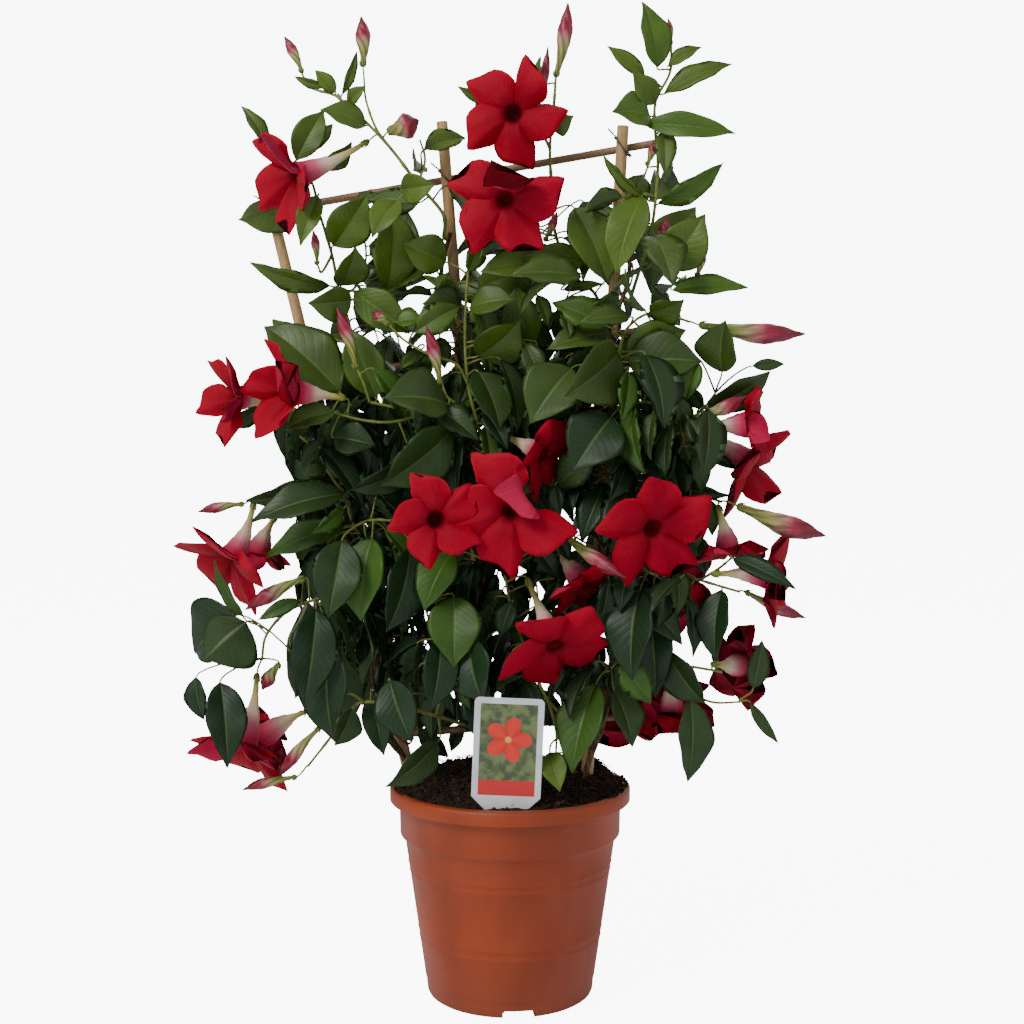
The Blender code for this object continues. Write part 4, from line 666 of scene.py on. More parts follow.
def makeLeafFinish():
    coat = {"Coat_Weight": 0.04, "Coat_Roughness": 0.3}
    finish, tree, shader = newFinish("leafGloss", leafLook["roughness"], 0.32, **coat)
    chance, under, youth = splitTraits(tree)
    u, v = splitMarks(tree)
    vector = objectPlaces(tree)
    aside = calc(tree, "ABSOLUTE", calc(tree, "SUBTRACT", u, 0.5))
    midrib = oneLess(tree, smoothBand(tree, aside, 0.008, 0.035))
    bend = times(tree, aside, 0.62)
    rise = times(tree, calc(tree, "SUBTRACT", v, bend), leafLook["sideVeins"])
    ripple = calc(tree, "PINGPONG", rise, 0.5)
    side = oneLess(tree, smoothBand(tree, ripple, 0.02, 0.11))
    inner = oneLess(tree, smoothBand(tree, aside, 0.3, 0.47))
    side = times(tree, side, inner)
    grown = blendColours(tree, youth, leafLook["old"], leafLook["young"])
    bright = smoothBand(tree, chance, 0.72, 0.98)
    grown = blendColours(tree, times(tree, bright, 0.7), grown, leafLook["fresh"])
    cloudy, value = useMottle(tree, grown, blendColours(tree, 0.3, grown, (0.01, 0.02, 0.004)), vector, 38.0)
    ribbed = blendColours(tree, times(tree, midrib, 0.38), cloudy, leafLook["vein"])
    ribbed = blendColours(tree, times(tree, side, 0.045), ribbed, leafLook["vein"])
    below = blendColours(tree, times(tree, youth, 0.6), (0.045, 0.095, 0.030), leafLook["under"])
    below = blendColours(tree, times(tree, midrib, 0.5), below, (0.2, 0.27, 0.12))
    full = blendColours(tree, under, ribbed, below)
    setLook(tree, shader, full)
    rough = plus(tree, times(tree, value, 0.1), leafLook["roughness"] - 0.04)
    rough = plus(tree, rough, times(tree, under, 0.2))
    tree.links.new(rough, shader.inputs["Roughness"])
    sunk = plus(tree, times(tree, midrib, -0.8), times(tree, side, -0.35))
    quilt = times(tree, times(tree, ripple, inner), 0.5)
    useRelief(tree, shader, vector, 420.0, 0.3, plus(tree, sunk, quilt), 0.3, 0.0009)
    return finish


petalLook = {
    # the darker red at a petal's base: partly the petal's own deeper centre, partly painted shade towards the
    # throat
    "deep": (0.27, 0.0008, 0.012),
    "face": (0.39, 0.0010, 0.017),
    "back": (0.46, 0.016, 0.062),
    "tube": (
        (0.0, (0.22, 0.30, 0.05)), (0.12, (0.46, 0.52, 0.16)), (0.28, (0.78, 0.64, 0.48)),
        (0.40, (0.64, 0.15, 0.22)), (0.54, (0.48, 0.020, 0.075)),
    ),
    "throat": ((0.0, (0.05, 0.004, 0.003)), (0.45, (0.09, 0.001, 0.004)), (0.58, (0.17, 0.0008, 0.008))),
    "roughness": 0.62,
}


def makePetalFinish():
    # traits: how far out from the calyx, front or back, and a chance value for each bloom
    finish, tree, shader = newFinish("petalVelvet", petalLook["roughness"], 0.1)
    outward, front, chance = splitTraits(tree)
    u, v = splitMarks(tree)
    vector = objectPlaces(tree)
    tube = colourRun(tree, outward, *petalLook["tube"], (1.0, petalLook["back"]))
    # towards its base the petal's front darkens from the face colour to the darker red: partly its own deeper
    # centre, partly painted shade
    face = colourRun(tree, outward, *petalLook["throat"], (0.74, petalLook["deep"]), (1.0, petalLook["face"]))
    full = blendColours(tree, front, tube, face)
    paler = blendColours(tree, 0.4, full, (0.50, 0.008, 0.035))
    full = blendColours(tree, times(tree, chance, 0.35), full, paler)
    spread = {0: times(tree, u, 46.0), 1: times(tree, v, 2.2), 2: chance}
    streak = putNode(tree, "ShaderNodeCombineXYZ", spread).outputs[0]
    veins = smoothBand(tree, noiseValue(tree, streak, 1.0, 3.0), 0.4, 0.7)
    veined = blendColours(tree, 0.5, full, (0.1, 0.0, 0.002))
    full = blendColours(tree, times(tree, veins, 0.22), full, veined)
    cloudy, value = useMottle(tree, full, blendColours(tree, 0.12, full, (0.6, 0.03, 0.05)), vector, 55.0)
    setLook(tree, shader, cloudy, value, 0.1, petalLook["roughness"] - 0.05)
    useRelief(tree, shader, vector, 700.0, 0.3, times(tree, veins, 0.6), 0.35, 0.0007)
    return finish


budColours = (
    (0.0, (0.16, 0.24, 0.035)), (0.30, (0.27, 0.36, 0.06)), (0.44, (0.42, 0.42, 0.16)), (0.53, (0.52, 0.20, 0.18)),
    (0.62, (0.36, 0.012, 0.050)), (0.82, (0.22, 0.003, 0.022)), (1.0, (0.10, 0.002, 0.012)),
)


def makeBudFinish():
    # rolled petals: dark twisted stripes on maroon red over a green-yellow base
    finish, tree, shader = newFinish("budRolled", 0.42, 0.45, Coat_Weight=0.1, Coat_Roughness=0.3)
    outward, front, chance = splitTraits(tree)
    u, v = splitMarks(tree)
    vector = objectPlaces(tree)
    rolled = colourRun(tree, outward, *budColours)
    twist = plus(tree, times(tree, u, 5.0), times(tree, v, 3.5))
    stripe = smoothBand(tree, calc(tree, "PINGPONG", twist, 0.5), 0.08, 0.34)
    dark = blendColours(tree, 0.6, rolled, (0.09, 0.002, 0.01))
    full = blendColours(tree, stripe, dark, rolled)
    cloudy, value = useMottle(tree, full, blendColours(tree, 0.12, full, (0.5, 0.1, 0.12)), vector, 140.0)
    setLook(tree, shader, cloudy)
    useRelief(tree, shader, vector, 900.0, 0.2, stripe, 0.4, 0.0007)
    return finish


def makeStalkFinish():
    # traits: age from fresh green to brown, then a blush of red
    finish, tree, shader = newFinish("stalkGreen", 0.45, 0.4)
    age, blush, chance = splitTraits(tree)
    vector = objectPlaces(tree)
    fresh = blendColours(tree, age, (0.20, 0.29, 0.035), (0.10, 0.105, 0.022))
    fresh = blendColours(tree, blush, fresh, (0.24, 0.05, 0.03))
    cloudy, value = useMottle(tree, fresh, blendColours(tree, 0.4, fresh, (0.05, 0.06, 0.02)), vector, 170.0)
    setLook(tree, shader, cloudy, value, 0.15, 0.4)
    useRelief(tree, shader, vector, 1500.0, 0.5, 0.0, 0.25, 0.0006)
    return finish


def makeBarkFinish():
    finish, tree, shader = newFinish("vineBark", 0.75, 0.3)
    vector = objectPlaces(tree, (1.0, 1.0, 0.3))
    cloudy, value = useMottle(tree, (0.16, 0.085, 0.04), (0.055, 0.032, 0.018), vector, 420.0, 0.4, 0.6)
    green = useMottle(tree, cloudy, (0.07, 0.085, 0.025), objectPlaces(tree), 22.0, 0.5, 0.7)[0]
    setLook(tree, shader, green, value, 0.15, 0.65)
    useRelief(tree, shader, vector, 900.0, 1.0, value, 0.6, 0.0009)
    return finish


def makeBambooFinish():
    # traits: how near a node ring the place is
    finish, tree, shader = newFinish("bambooCane", 0.5, 0.4, Coat_Weight=0.12, Coat_Roughness=0.35)
    ringed, cutEnd, dark = splitTraits(tree)
    stretched = objectPlaces(tree, (1.0, 1.0, 0.03))
    cloudy, value = useMottle(tree, (0.54, 0.345, 0.155), (0.40, 0.23, 0.09), stretched, 900.0, 0.35, 0.65)
    lengthwise = objectPlaces(tree, (1.0, 1.0, 0.25))
    patchy = useMottle(tree, cloudy, (0.34, 0.20, 0.10), lengthwise, 60.0, 0.52, 0.72)[0]
    full = blendColours(tree, times(tree, ringed, 0.7), patchy, (0.19, 0.105, 0.05))
    full = blendColours(tree, times(tree, dark, 0.62), full, (0.15, 0.075, 0.045))
    full = blendColours(tree, cutEnd, full, (0.60, 0.46, 0.28))
    setLook(tree, shader, full, value, 0.15, 0.42)
    useRelief(tree, shader, stretched, 1400.0, 1.0, 0.0, 0.35, 0.0005)
    return finish


def makeWireFinish():
    finish, tree, shader = newFinish("tieWire", 0.42, 0.5)
    vector = objectPlaces(tree)
    cloudy, value = useMottle(tree, (0.06, 0.055, 0.05), (0.14, 0.10, 0.07), vector, 260.0)
    setLook(tree, shader, cloudy)
    tree.links.new(times(tree, oneLess(tree, value), 0.8), shader.inputs["Metallic"])
    useRelief(tree, shader, vector, 1800.0, 0.4, 0.0, 0.2, 0.0004)
    return finish


def makePeatFinish(name, dark, light, size):
    finish, tree, shader = newFinish(name, 0.95, 0.2)
    vector = objectPlaces(tree)
    cloudy, value = useMottle(tree, dark, light, vector, size, 0.45, 0.75)
    dusty = useMottle(tree, cloudy, (0.10, 0.07, 0.045), vector, size * 3.1, 0.62, 0.75)[0]
    setLook(tree, shader, dusty)
    useRelief(tree, shader, vector, size * 4.0, 1.0, value, 0.9, 0.002)
    return finish


potLook = {
    "clay": (0.345, 0.050, 0.0095),
    "shade": (0.255, 0.036, 0.007),
    "dust": (0.37, 0.085, 0.027),
    "stain": (0.17, 0.07, 0.035),
}


def makePotFinish():
    finish, tree, shader = newFinish("clayPlastic", 0.5, 0.4)
    places = putNode(tree, "ShaderNodeTexCoord")
    height = putNode(tree, "ShaderNodeSeparateXYZ", {0: places.outputs["Object"]}).outputs[2]
    vector = objectPlaces(tree)
    tall, flat = objectPlaces(tree, (1.0, 1.0, 0.5)), objectPlaces(tree, (1.0, 1.0, 2.5))
    cloudy, value = useMottle(tree, potLook["clay"], potLook["shade"], tall, 14.0)
    scuffed, scuff = useMottle(tree, cloudy, potLook["dust"], flat, 60.0, 0.66, 0.9)
    flecked = useMottle(tree, scuffed, potLook["stain"], vector, 210.0, 0.68, 0.78)[0]
    # painted shade: the pot's colour darkens towards its foot, over the lowest 50 mm
    foot = oneLess(tree, smoothBand(tree, height, 0.0, 0.05))
    darker = blendColours(tree, times(tree, foot, 0.45), flecked, (0.24, 0.06, 0.028))
    # soil dust lies on the rim; where this darker, mottled band reaches into the corner under the lip it is painted
    # shade
    grimeAndShade = useMottle(tree, darker, potLook["stain"], vector, 95.0, 0.45, 0.7)[0]
    rim = smoothBand(tree, height, 0.166, 0.172)
    full = blendColours(tree, times(tree, rim, 0.5), darker, grimeAndShade)
    setLook(tree, shader, full, value, 0.12, 0.44)
    useRelief(tree, shader, vector, 1500.0, 0.5, times(tree, scuff, 0.4), 0.16, 0.0006)
    return finish


labelLook = {
    "card": (0.76, 0.78, 0.82),
    "band": (0.60, 0.018, 0.018),
    "bloom": (0.78, 0.028, 0.012),
    "ground": (0.05, 0.075, 0.03),
}


def makeLabelFinish():
    # a plain picture card: a red band below, a simple five-petal flower over soft green, a pale border
    finish, tree, shader = newFinish("labelCard", 0.38, 0.5, Coat_Weight=0.15, Coat_Roughness=0.2)
    printed, under, chance = splitTraits(tree)
    u, v = splitMarks(tree)
    vector = objectPlaces(tree)
    across = calc(tree, "SUBTRACT", u, 0.5)
    # picture area, inside the border
    inside = oneLess(tree, smoothBand(tree, calc(tree, "ABSOLUTE", across), 0.405, 0.415))
    low = smoothBand(tree, v, 0.125, 0.131)
    high = oneLess(tree, smoothBand(tree, v, 0.944, 0.95))
    picture = times(tree, inside, times(tree, low, high))
    # flower: the distance from its middle against a five-lobed edge
    x = times(tree, across, 0.6)
    y = calc(tree, "SUBTRACT", v, 0.63)
    away = calc(tree, "SQRT", plus(tree, times(tree, x, x), times(tree, y, y)))
    angle = calc(tree, "ARCTAN2", y, x)
    lobed = calc(tree, "ABSOLUTE", calc(tree, "COSINE", times(tree, angle, 2.5)))
    edge = plus(tree, times(tree, lobed, 0.09), 0.115)
    petal = oneLess(tree, smoothBand(tree, calc(tree, "SUBTRACT", away, edge), -0.006, 0.006))
    core = oneLess(tree, smoothBand(tree, away, 0.02, 0.035))
    ground = useMottle(tree, labelLook["ground"], (0.16, 0.20, 0.07), vector, 150.0)[0]
    fold = times(tree, oneLess(tree, lobed), 0.6)
    petals = blendColours(tree, fold, labelLook["bloom"], (0.42, 0.008, 0.006))
    shown = blendColours(tree, petal, ground, petals)
    shown = blendColours(tree, core, shown, (0.75, 0.42, 0.08))
    band = oneLess(tree, smoothBand(tree, v, 0.262, 0.268))
    shown = blendColours(tree, band, shown, labelLook["band"])
    worn, wear = useMottle(tree, labelLook["card"], (0.66, 0.67, 0.70), vector, 60.0)
    printed = blendColours(tree, times(tree, picture, printed), worn, shown)
    setLook(tree, shader, printed, wear, 0.12, 0.32)
    useRelief(tree, shader, vector, 1200.0, 0.3, 0.0, 0.08, 0.0003)
    return finish


finishes = {
    "leaf": makeLeafFinish(),
    "petal": makePetalFinish(),
    "bud": makeBudFinish(),
    "stalk": makeStalkFinish(),
    "bark": makeBarkFinish(),
    "bamboo": makeBambooFinish(),
    "wire": makeWireFinish(),
    "peat": makePeatFinish("peatFibrous", (0.020, 0.012, 0.008), (0.085, 0.052, 0.030), 190.0),
    "crumb": makePeatFinish("peatCrumb", (0.034, 0.020, 0.013), (0.15, 0.092, 0.052), 320.0),
    "clay": makePotFinish(),
    "card": makeLabelFinish(),
}
print("finishes made:", len(finishes))


# Trellis: canes, bars and wire ties
caneSet = {
    "radius": 5.2 * mm,
    "taper": 0.12,
    "foot": 62.0 * mm,
    "nodeRings": 4,
    "steps": 90,
    "sides": 20,
}
barSet = {"radius": 3.3 * mm, "taper": 0.1, "seat": 0.75 * mm, "nodeRings": 3, "steps": 60, "sides": 14}
tieSet = {"wire": 0.7 * mm, "slack": 1.3 * mm, "slant": 1.5, "swell": 1.07, "steps": 40, "sides": 8}


def caneLine(name):
    low, high = (seen(*place) for place in canePlaces[name])
    run = high - low
    return low + run * ((caneSet["foot"] - low.z) / run.z), high


def caneRadius(name, place):
    foot, top = caneLine(name)
    return caneSet["radius"] * (1.0 - caneSet["taper"] * (place - foot).length / (top - foot).length)


def seatedBar(name):
    # the bar lies behind the canes: each end against an outer cane, then both clear the middle one
    start, end = (seen(*place) for place in barPlaces[name])
    away = Vector((0, 1, 0))
    for cane in ("cane_left", "cane_right", "cane_middle"):
        onCane, onBar = nearestBetween(caneLine(cane), (start, end))
        shift = caneRadius(cane, onCane) + barSet["radius"] + barSet["seat"] - (onBar - onCane).dot(away)
        if cane == "cane_left" or (cane == "cane_middle" and shift > 0):
            start = start + away * shift
        if cane == "cane_right" or (cane == "cane_middle" and shift > 0):
            end = end + away * shift
    return start, end


def addCane(heap, start, end, settings, seed, dark=0.0):
    # a tapered cane with raised node rings and a hollow at the top cut
    radius, taper, rings = settings["radius"], settings["taper"], settings["nodeRings"]
    steps, sides = settings["steps"], settings["sides"]
    chance = random.Random(seed)
    places = [(ring + chance.uniform(-0.12, 0.12)) / rings for ring in range(1, rings)]
    loops = []
    marks = []
    traits = []
    points = [start.lerp(end, step / steps) for step in range(steps + 1)]
    frames = turningFrames(points)
    length = (end - start).length
    for place in places:
        # extra sections at each node ring
        for offset in (-0.006, -0.003, 0.0, 0.003, 0.006):
            points.append(start.lerp(end, place + offset))
    points.sort(key=lambda point: (point - start).length)
    side, up, heading = frames[0]
    for point in points:
        share = (point - start).length / length
        gap = min((abs(share - place) for place in places), default=1.0) * length
        ridge = 0.5 * mm * math.exp(-(gap / (1.6 * mm)) ** 2)
        bulge = ridge - 0.15 * mm * math.exp(-((gap - 4 * mm) / (2 * mm)) ** 2)
        reach = radius * (1.0 - taper * share) + bulge
        ring = []
        for column in range(sides):
            angle = math.tau * column / sides
            rough = 1.0 + 0.02 * noise.noise(point * 60 + Vector((math.cos(angle), math.sin(angle), seed)))
            ring.append(point + (side * math.cos(angle) + up * math.sin(angle)) * reach * rough)
        loops.append(ring)
        marks.append([(column / sides, share) for column in range(sides)])
        traits.append([(math.exp(-(gap / (3 * mm)) ** 2), 0.0, dark)] * sides)
    reach = radius * (1.0 - taper)
    for inward, depth, cut in ((0.86, 0.0, 1.0), (0.52, 0.0, 1.0), (0.45, -1.5 * mm, 1.0), (0.4, -6 * mm, 0.0)):
        turns = [math.tau * column / sides for column in range(sides)]
        spokes = [side * math.cos(turn) + up * math.sin(turn) for turn in turns]
        loops.append([end + heading * depth + spoke * reach * inward for spoke in spokes])
        marks.append([(column / sides, 1.0) for column in range(sides)])
        traits.append([(1.0 - cut, cut, dark)] * sides)
    addLoft(heap, loops, marks, traits)


for index, name in enumerate(canePlaces):
    heap = newHeap()
    foot, top = caneLine(name)
    addCane(heap, foot, top, caneSet, index)
    addHeap("bambooCane" + titleOf(name), heap, finishes["bamboo"], "bamboo", name)
for index, name in enumerate(barPlaces):
    heap = newHeap()
    start, end = seatedBar(name)
    addCane(heap, start, end, barSet, index + 5, 1.0)
    addHeap("bambooBar" + titleOf(name), heap, finishes["bamboo"], "bamboo", name)


def tieLoop(cane, bar, offset):
    # one turn of wire laid slantwise round the crossing
    onCane, onBar = nearestBetween(caneLine(cane), seatedBar(bar))
    out = (onBar - onCane).normalized()
    along = (caneLine(cane)[1] - caneLine(cane)[0]).normalized()
    side = along.cross(out).normalized()
    slant = (along + side).normalized()
    across = (along - side).normalized()
    reachCane = caneRadius(cane, onCane) + tieSet["wire"] + 0.75 * mm
    reachBar = barSet["radius"] + tieSet["wire"] + tieSet["slack"]
    points = []
    for step in range(tieSet["steps"]):
        angle = math.tau * step / tieSet["steps"]
        lengthwise = math.cos(angle)
        outward = math.sin(angle)
        blend = easeInto(-0.4, 0.4, outward)
        centre = onCane.lerp(onBar, blend)
        reach = reachCane * (1 - blend) + reachBar * blend
        place = centre + slant * (lengthwise * reach * tieSet["slant"]) + out * (outward * reach * tieSet["swell"])
        points.append(place + across * offset * math.cos(angle))
    return points, slant, out, across


for bar in barPlaces:
    for cane in canePlaces:
        heap = newHeap()
        for offset in (0.0, 1.5 * mm):
            points, slant, out, across = tieLoop(cane, bar, offset)
            loop = points + points[:2]
            addTube(heap, loop, [tieSet["wire"] * 0.85] * len(loop), tieSet["sides"], (0.5, 0.0, 0.5))
        # two ends twisted together in front
        start = points[int(len(points) * 0.95)]
        for turn in (0.0, math.pi):
            tail = []
            for step in range(16):
                share = step / 15
                around = slant * math.cos(turn + share * 14) + across * math.sin(turn + share * 14)
                tail.append(start - out * share * 2 * mm + slant * share * 8 * mm + around * 0.7 * mm)
            addTube(heap, tail, [tieSet["wire"] * 0.6] * 16, 6, (0.5, 0.0, 0.5))
        name = f"tie_{bar[9:]}_{cane[5:]}"
        addHeap("wireTie" + titleOf(name), heap, finishes["wire"], "tie_wire", name)
print("trellis made")


# Woody vines in front of the canes
vineSet = {"radius": 2.6 * mm, "offset": 5.2 * mm + 2.6 * mm + 3.8 * mm, "swing": 65.0}


def vineRun(name):
    cane, swings, share = vinePlaces[name]
    foot, top = caneLine(cane)
    along = (top - foot).normalized()
    side = along.cross(Vector((0, 1, 0))).normalized()
    front = side.cross(along).normalized()
    if front.y > 0:
        front = -front
    count = int(abs(swings) * 6) + 1
    points = []
    for index in range(count):
        climbed = index / (count - 1)
        swing = vineSet["swing"] * min(1.0, 4.0 * climbed) * math.sin(math.tau * swings * climbed)
        around = side * math.sin(math.radians(swing)) + front * math.cos(math.radians(swing))
        points.append(foot.lerp(top, 0.07 + (share - 0.07) * climbed) + around * vineSet["offset"])
    return points


for seed, name in enumerate(vinePlaces):
    heap = newHeap()
    points = smoothRun(vineRun(name), 150)
    radii = []
    for index, place in enumerate(points):
        knob = max(0.0, math.cos(index * math.tau / 19 + seed)) ** 12
        uneven = 1 + 0.16 * knob + 0.08 * noise.noise(place * 90)
        radii.append(vineSet["radius"] * (1.0 - 0.35 * index / 150) * uneven)
    addTube(heap, points, radii, 10, (0.5, 0.0, 0.5))
    # a thinner stem that follows it, half hidden
    thin = [
        place + Vector((math.sin(index * 0.33 + seed) * 3.2 * mm, -1.5 * mm + math.cos(index * 0.29) * 2.5 * mm, 0))
        for index, place in enumerate(points[2:138])
    ]
    addTube(heap, thin, [1.3 * mm * (1 - 0.4 * index / 136) for index in range(len(thin))], 8, (0.5, 0.0, 0.5))
    addHeap("climbingStem" + titleOf(name), heap, finishes["bark"], "vine_bark", name)


# Leafy stems
stemSet = {"radius": 1.5 * mm, "gap": 0.7 * mm, "room": 4.0 * mm, "petiole": 0.9 * mm}


def stemRuns(name):
    vine, runs = stemPlaces[name]
    vinePoints = smoothRun(vineRun(vine), 120)
    cane = caneLine(vinePlaces[vine][0])
    main = [seen(*place) for place in runs[0]]

    def reach(index):
        origin = vinePoints[index]
        onCane, passed = nearestBetween(cane, (origin, main[0]))
        blocked = (onCane - passed).length < caneSet["radius"] + stemSet["room"]
        ahead = 0.0 < (passed - origin).dot(main[0] - origin)
        return (main[0] - origin).length + (1.0 if blocked and ahead else 0.0)

    index = min(range(1, 119), key=reach)
    origin = vinePoints[index]
    along = (vinePoints[index + 1] - vinePoints[index - 1]).normalized()
    out = main[0] - origin
    out = (out - along * out.dot(along)).normalized()
    radius = vineSet["radius"] * (1.0 - 0.35 * index / 120)
    start = origin + out * (radius + stemSet["gap"])
    return [[start, start + out * 4 * mm] + main] + [[seen(*place) for place in run] for run in runs[1:]]


def stemSamples():
    # points all along every leafy stem, away from its foot, with the shoot that they are on
    found = []
    for name in stemPlaces:
        for index, line in enumerate(stemRuns(name)):
            for first, second in list(zip(line, line[1:]))[2 if index == 0 else 0:]:
                found += [(name, first.lerp(second, (share + 0.5) / 8)) for share in range(8)]
            found.append((name, line[-1].lerp(line[-2], 0.12)))
    return found


samples = stemSamples()
finds = KDTree(len(samples))
for index, (name, place) in enumerate(samples):
    finds.insert(place, index)
finds.balance()


def nearestStem(place):
    found, index, away = finds.find(place)
    return samples[index]


stalkHeaps = {name: newHeap() for name in stemPlaces}
leafHeaps = {name: newHeap() for name in stemPlaces}
budHeaps = {name: newHeap() for name in stemPlaces}


def youthAt(place):
    # leaves are darker low in the plant
    return min(1.0, max(0.0, (place.z - 0.40) / 0.22))


for name in stemPlaces:
    for index, run in enumerate(stemRuns(name)):
        start = 1.1 if index == 0 else 0.85
        drop = 0.4 if index == 0 else 0.3
        points = smoothRun(run, len(run) * 7)
        radii = [stemSet["radius"] * (start - drop * step / len(points)) for step in range(len(points))]
        radii = [radius * (1.0 + 0.3 * max(0.0, math.cos(step * 0.45)) ** 16) for step, radius in enumerate(radii)]
        age = 0.75 * (1.0 - youthAt(run[0]))
        addTube(stalkHeaps[name], points, radii, 8, lambda share: (age * (1.0 - 0.6 * share), 0.1, 0.5))
print("stems made")


# Leaves
leafSet = {
    "thick": 0.5 * mm,
    "edge": 0.25 * mm,
    "midrib": 0.5 * mm,
    "wave": 0.02,
    "fold": 1.3,  # how steeply the halves rise beside the midrib
    "fineRows": 15,
    "plainRows": 9,
    "fineWidth": 24,  # pixels; narrower leaves get fewer faces
    "bends": (0, -4, 4, -8, 8, -12, 12, -17, 17, -22, 22),  # mm at the tip, tried in turn
}
fineColumns = (-1.0, -0.84, -0.6, -0.32, -0.1, 0.0, 0.1, 0.32, 0.6, 0.84, 1.0)
plainColumns = (-1.0, -0.55, -0.1, 0.0, 0.1, 0.55, 1.0)
pixel = 0.81 * mm


def leafFrame(spec, index, step):
    rootStep, tipStep = step
    root = seen(*spec.base, spec.near[0] + rootStep)
    tip = seen(*spec.tip, spec.near[1] + tipStep)
    along = tip - root
    toView = (viewSet["point"] - root).normalized()
    out = (toView - along * (toView.dot(along) / along.length_squared)).normalized()
    turn = spec.turn if spec.turn is not None else 38.0 * math.sin(2.4 * index + 0.6)
    side = out.cross(along).normalized()
    angle = math.radians(turn)
    half = spec.wide * pixel / 2 / math.cos(angle)
    turned = side * math.cos(angle) + out * math.sin(angle)
    return root, along, turned, out * math.cos(angle) - side * math.sin(angle), half, Vector()


def leafWidth(share):
    # a pointed oval with a short drip tip
    if share <= 0.0 or share >= 1.0:
        return 0.02
    body = math.sin(math.pi * min(1.0, share / 0.96) ** 0.86) ** 0.82 if share < 0.96 else 0.0
    return max(body, 0.09 * (1.0 - share) / 0.12 if share > 0.88 else 0.03)


def leafPlaceAt(made, cup, share, across, wave):
    root, along, side, out, half, bend = made
    width = leafWidth(share)
    arch = 0.36 * share * (1.0 - share) * along.length
    away = abs(across)
    lift = arch + cup * width * half * 2 * (leafSet["fold"] * away - (leafSet["fold"] - 1.0) * away * away)
    lift += along.length * leafSet["wave"] * math.sin(share * 15.0 + wave + across) * away ** 2
    return root + along * share + side * (across * width * half) + out * lift + bend * share ** 2


def clearOfBlooms(made, cup):
    # bends a leaf's tip towards or away from the view until it cuts no bloom
    toView = (viewSet["point"] - made[0]).normalized()
    for bend in leafSet["bends"]:
        tried = made[:5] + (toView * bend * mm,)
        test = treeOfFaces(*sparseLeaf(tried, cup, (0.2, 0.4, 0.6, 0.8)))
        if not any(test.overlap(other) for other in bloomTrees):
            return tried
    return made


def cadLeafPoint(made, cup, share, across):
    # the same leaf's edge as the solid has it
    root, along, side, out, half = made[:5]
    width = math.sin(math.pi * share ** 0.8) ** 0.9
    lift = 0.36 * share * (1.0 - share) * along.length + cup * width * half * 2
    return root + along * share + side * (across * width * half) + out * lift


def addLeaf(heap, made, cup, trait, fine, wave):
    out = made[3]
    columns = fineColumns if fine else plainColumns
    rows = leafSet["fineRows"] if fine else leafSet["plainRows"]
    rings = []
    marks = []
    traits = []
    for row in range(rows):
        share = 1.0 - (1.0 - row / (rows - 1)) ** 0.9
        top = []
        low = []
        for across in columns:
            place = leafPlaceAt(made, cup, share, across, wave)
            thick = leafSet["edge"] + (leafSet["thick"] - leafSet["edge"]) * (1 - abs(across))
            groove = leafSet["midrib"] * 0.5 if across == 0.0 else 0.0
            ridge = leafSet["midrib"] * (1.4 - share) if across == 0.0 else 0.0
            top.append(place + out * (thick / 2 - groove))
            low.append(place - out * (thick / 2 + ridge))
        rings.append(top + low[-2:0:-1])
        mark = [(0.5 + across / 2, share) for across in columns]
        marks.append(mark + mark[-2:0:-1])
        chance, youth = trait
        traits.append([(chance, 0.0, youth)] * len(columns) + [(chance, 1.0, youth)] * (len(columns) - 2))
    addLoft(heap, rings, marks, traits)


def addPetiole(heap, origin, root, along, age):
    # a thin stalk that leaves the stem and turns into the blade
    run = root - origin
    reach = run.length
    first = origin + run * 0.35 + Vector((0, 0, 0.12 * reach))
    second = root - along.normalized() * min(0.3 * reach, 6 * mm)
    points = []
    for step in range(7):
        t = step / 6
        bent = origin * (1 - t) ** 3 + first * 3 * t * (1 - t) ** 2 + second * 3 * t * t * (1 - t) + root * t ** 3
        points.append(bent)
    points.append(root + along.normalized() * 2 * mm)
    radii = [stemSet["petiole"] * (1.0 - 0.25 * step / 7) for step in range(8)]
    addTube(heap, points, radii, 6, (age, 0.15, 0.5))


def treeOfFaces(points, faces):
    return BVHTree.FromPolygons(points, faces, epsilon=0.0)


def sparseLeaf(made, cup, shares=(0.25, 0.6)):
    # a few faces that stand for a leaf in the overlap test
    places = [made[0]]
    faces = [(0, 1, 2), (0, 2, 3)]
    for row, share in enumerate(shares):
        places += [leafPlaceAt(made, cup, share, across, 0.0) for across in (-1.0, 0.0, 1.0)]
        left = 3 * row + 1
        if row:
            faces += [(left - 3, left, left + 1, left - 2), (left - 2, left + 1, left + 2, left - 1)]
    places.append(made[0] + made[1] + made[5])
    faces += [(left, left + 3, left + 1), (left + 1, left + 3, left + 2)]
    return places, faces


def treeOfNode(name):
    mesh = nodes[name].data
    points = [vertex.co.copy() for vertex in mesh.vertices]
    return treeOfFaces(points, [tuple(polygon.vertices) for polygon in mesh.polygons])


cornersOf = {}
for name in stemPlaces:
    corners = nodes[name].data.vertices
    tree = KDTree(len(corners))
    for vertex in corners:
        tree.insert(vertex.co, vertex.index)
    tree.balance()
    cornersOf[name] = tree


def isThere(name, places, near=0.15 * mm):
    # whether the shoot's solid has a corner at each of these places
    return all(cornersOf[name].find(place)[2] < near for place in places)


def backLeaves():
    made = []
    for index, spec in enumerate(leafPlaces):
        if spec.wide < backLeastWidth:
            continue
        sign = 1 if index % 2 else -1
        places = []
        nears = []
        for (u, v), near in zip((spec.base, spec.tip), spec.near):
            trellis = 0.217 * (u - 490)
            places.append((u + sign * backShift[0], v + backShift[1]))
            nears.append(min(trellis - backDepth, 2 * trellis - near))
        made.append(leafPlace(places[0], places[1], tuple(nears), spec.wide))
    return made


# Buds
budTable = [
    (0.0, 0.30), (0.16, 0.42), (0.34, 0.66), (0.5, 0.92), (0.62, 1.0), (0.78, 0.74), (0.91, 0.32), (1.0, 0.04),
]


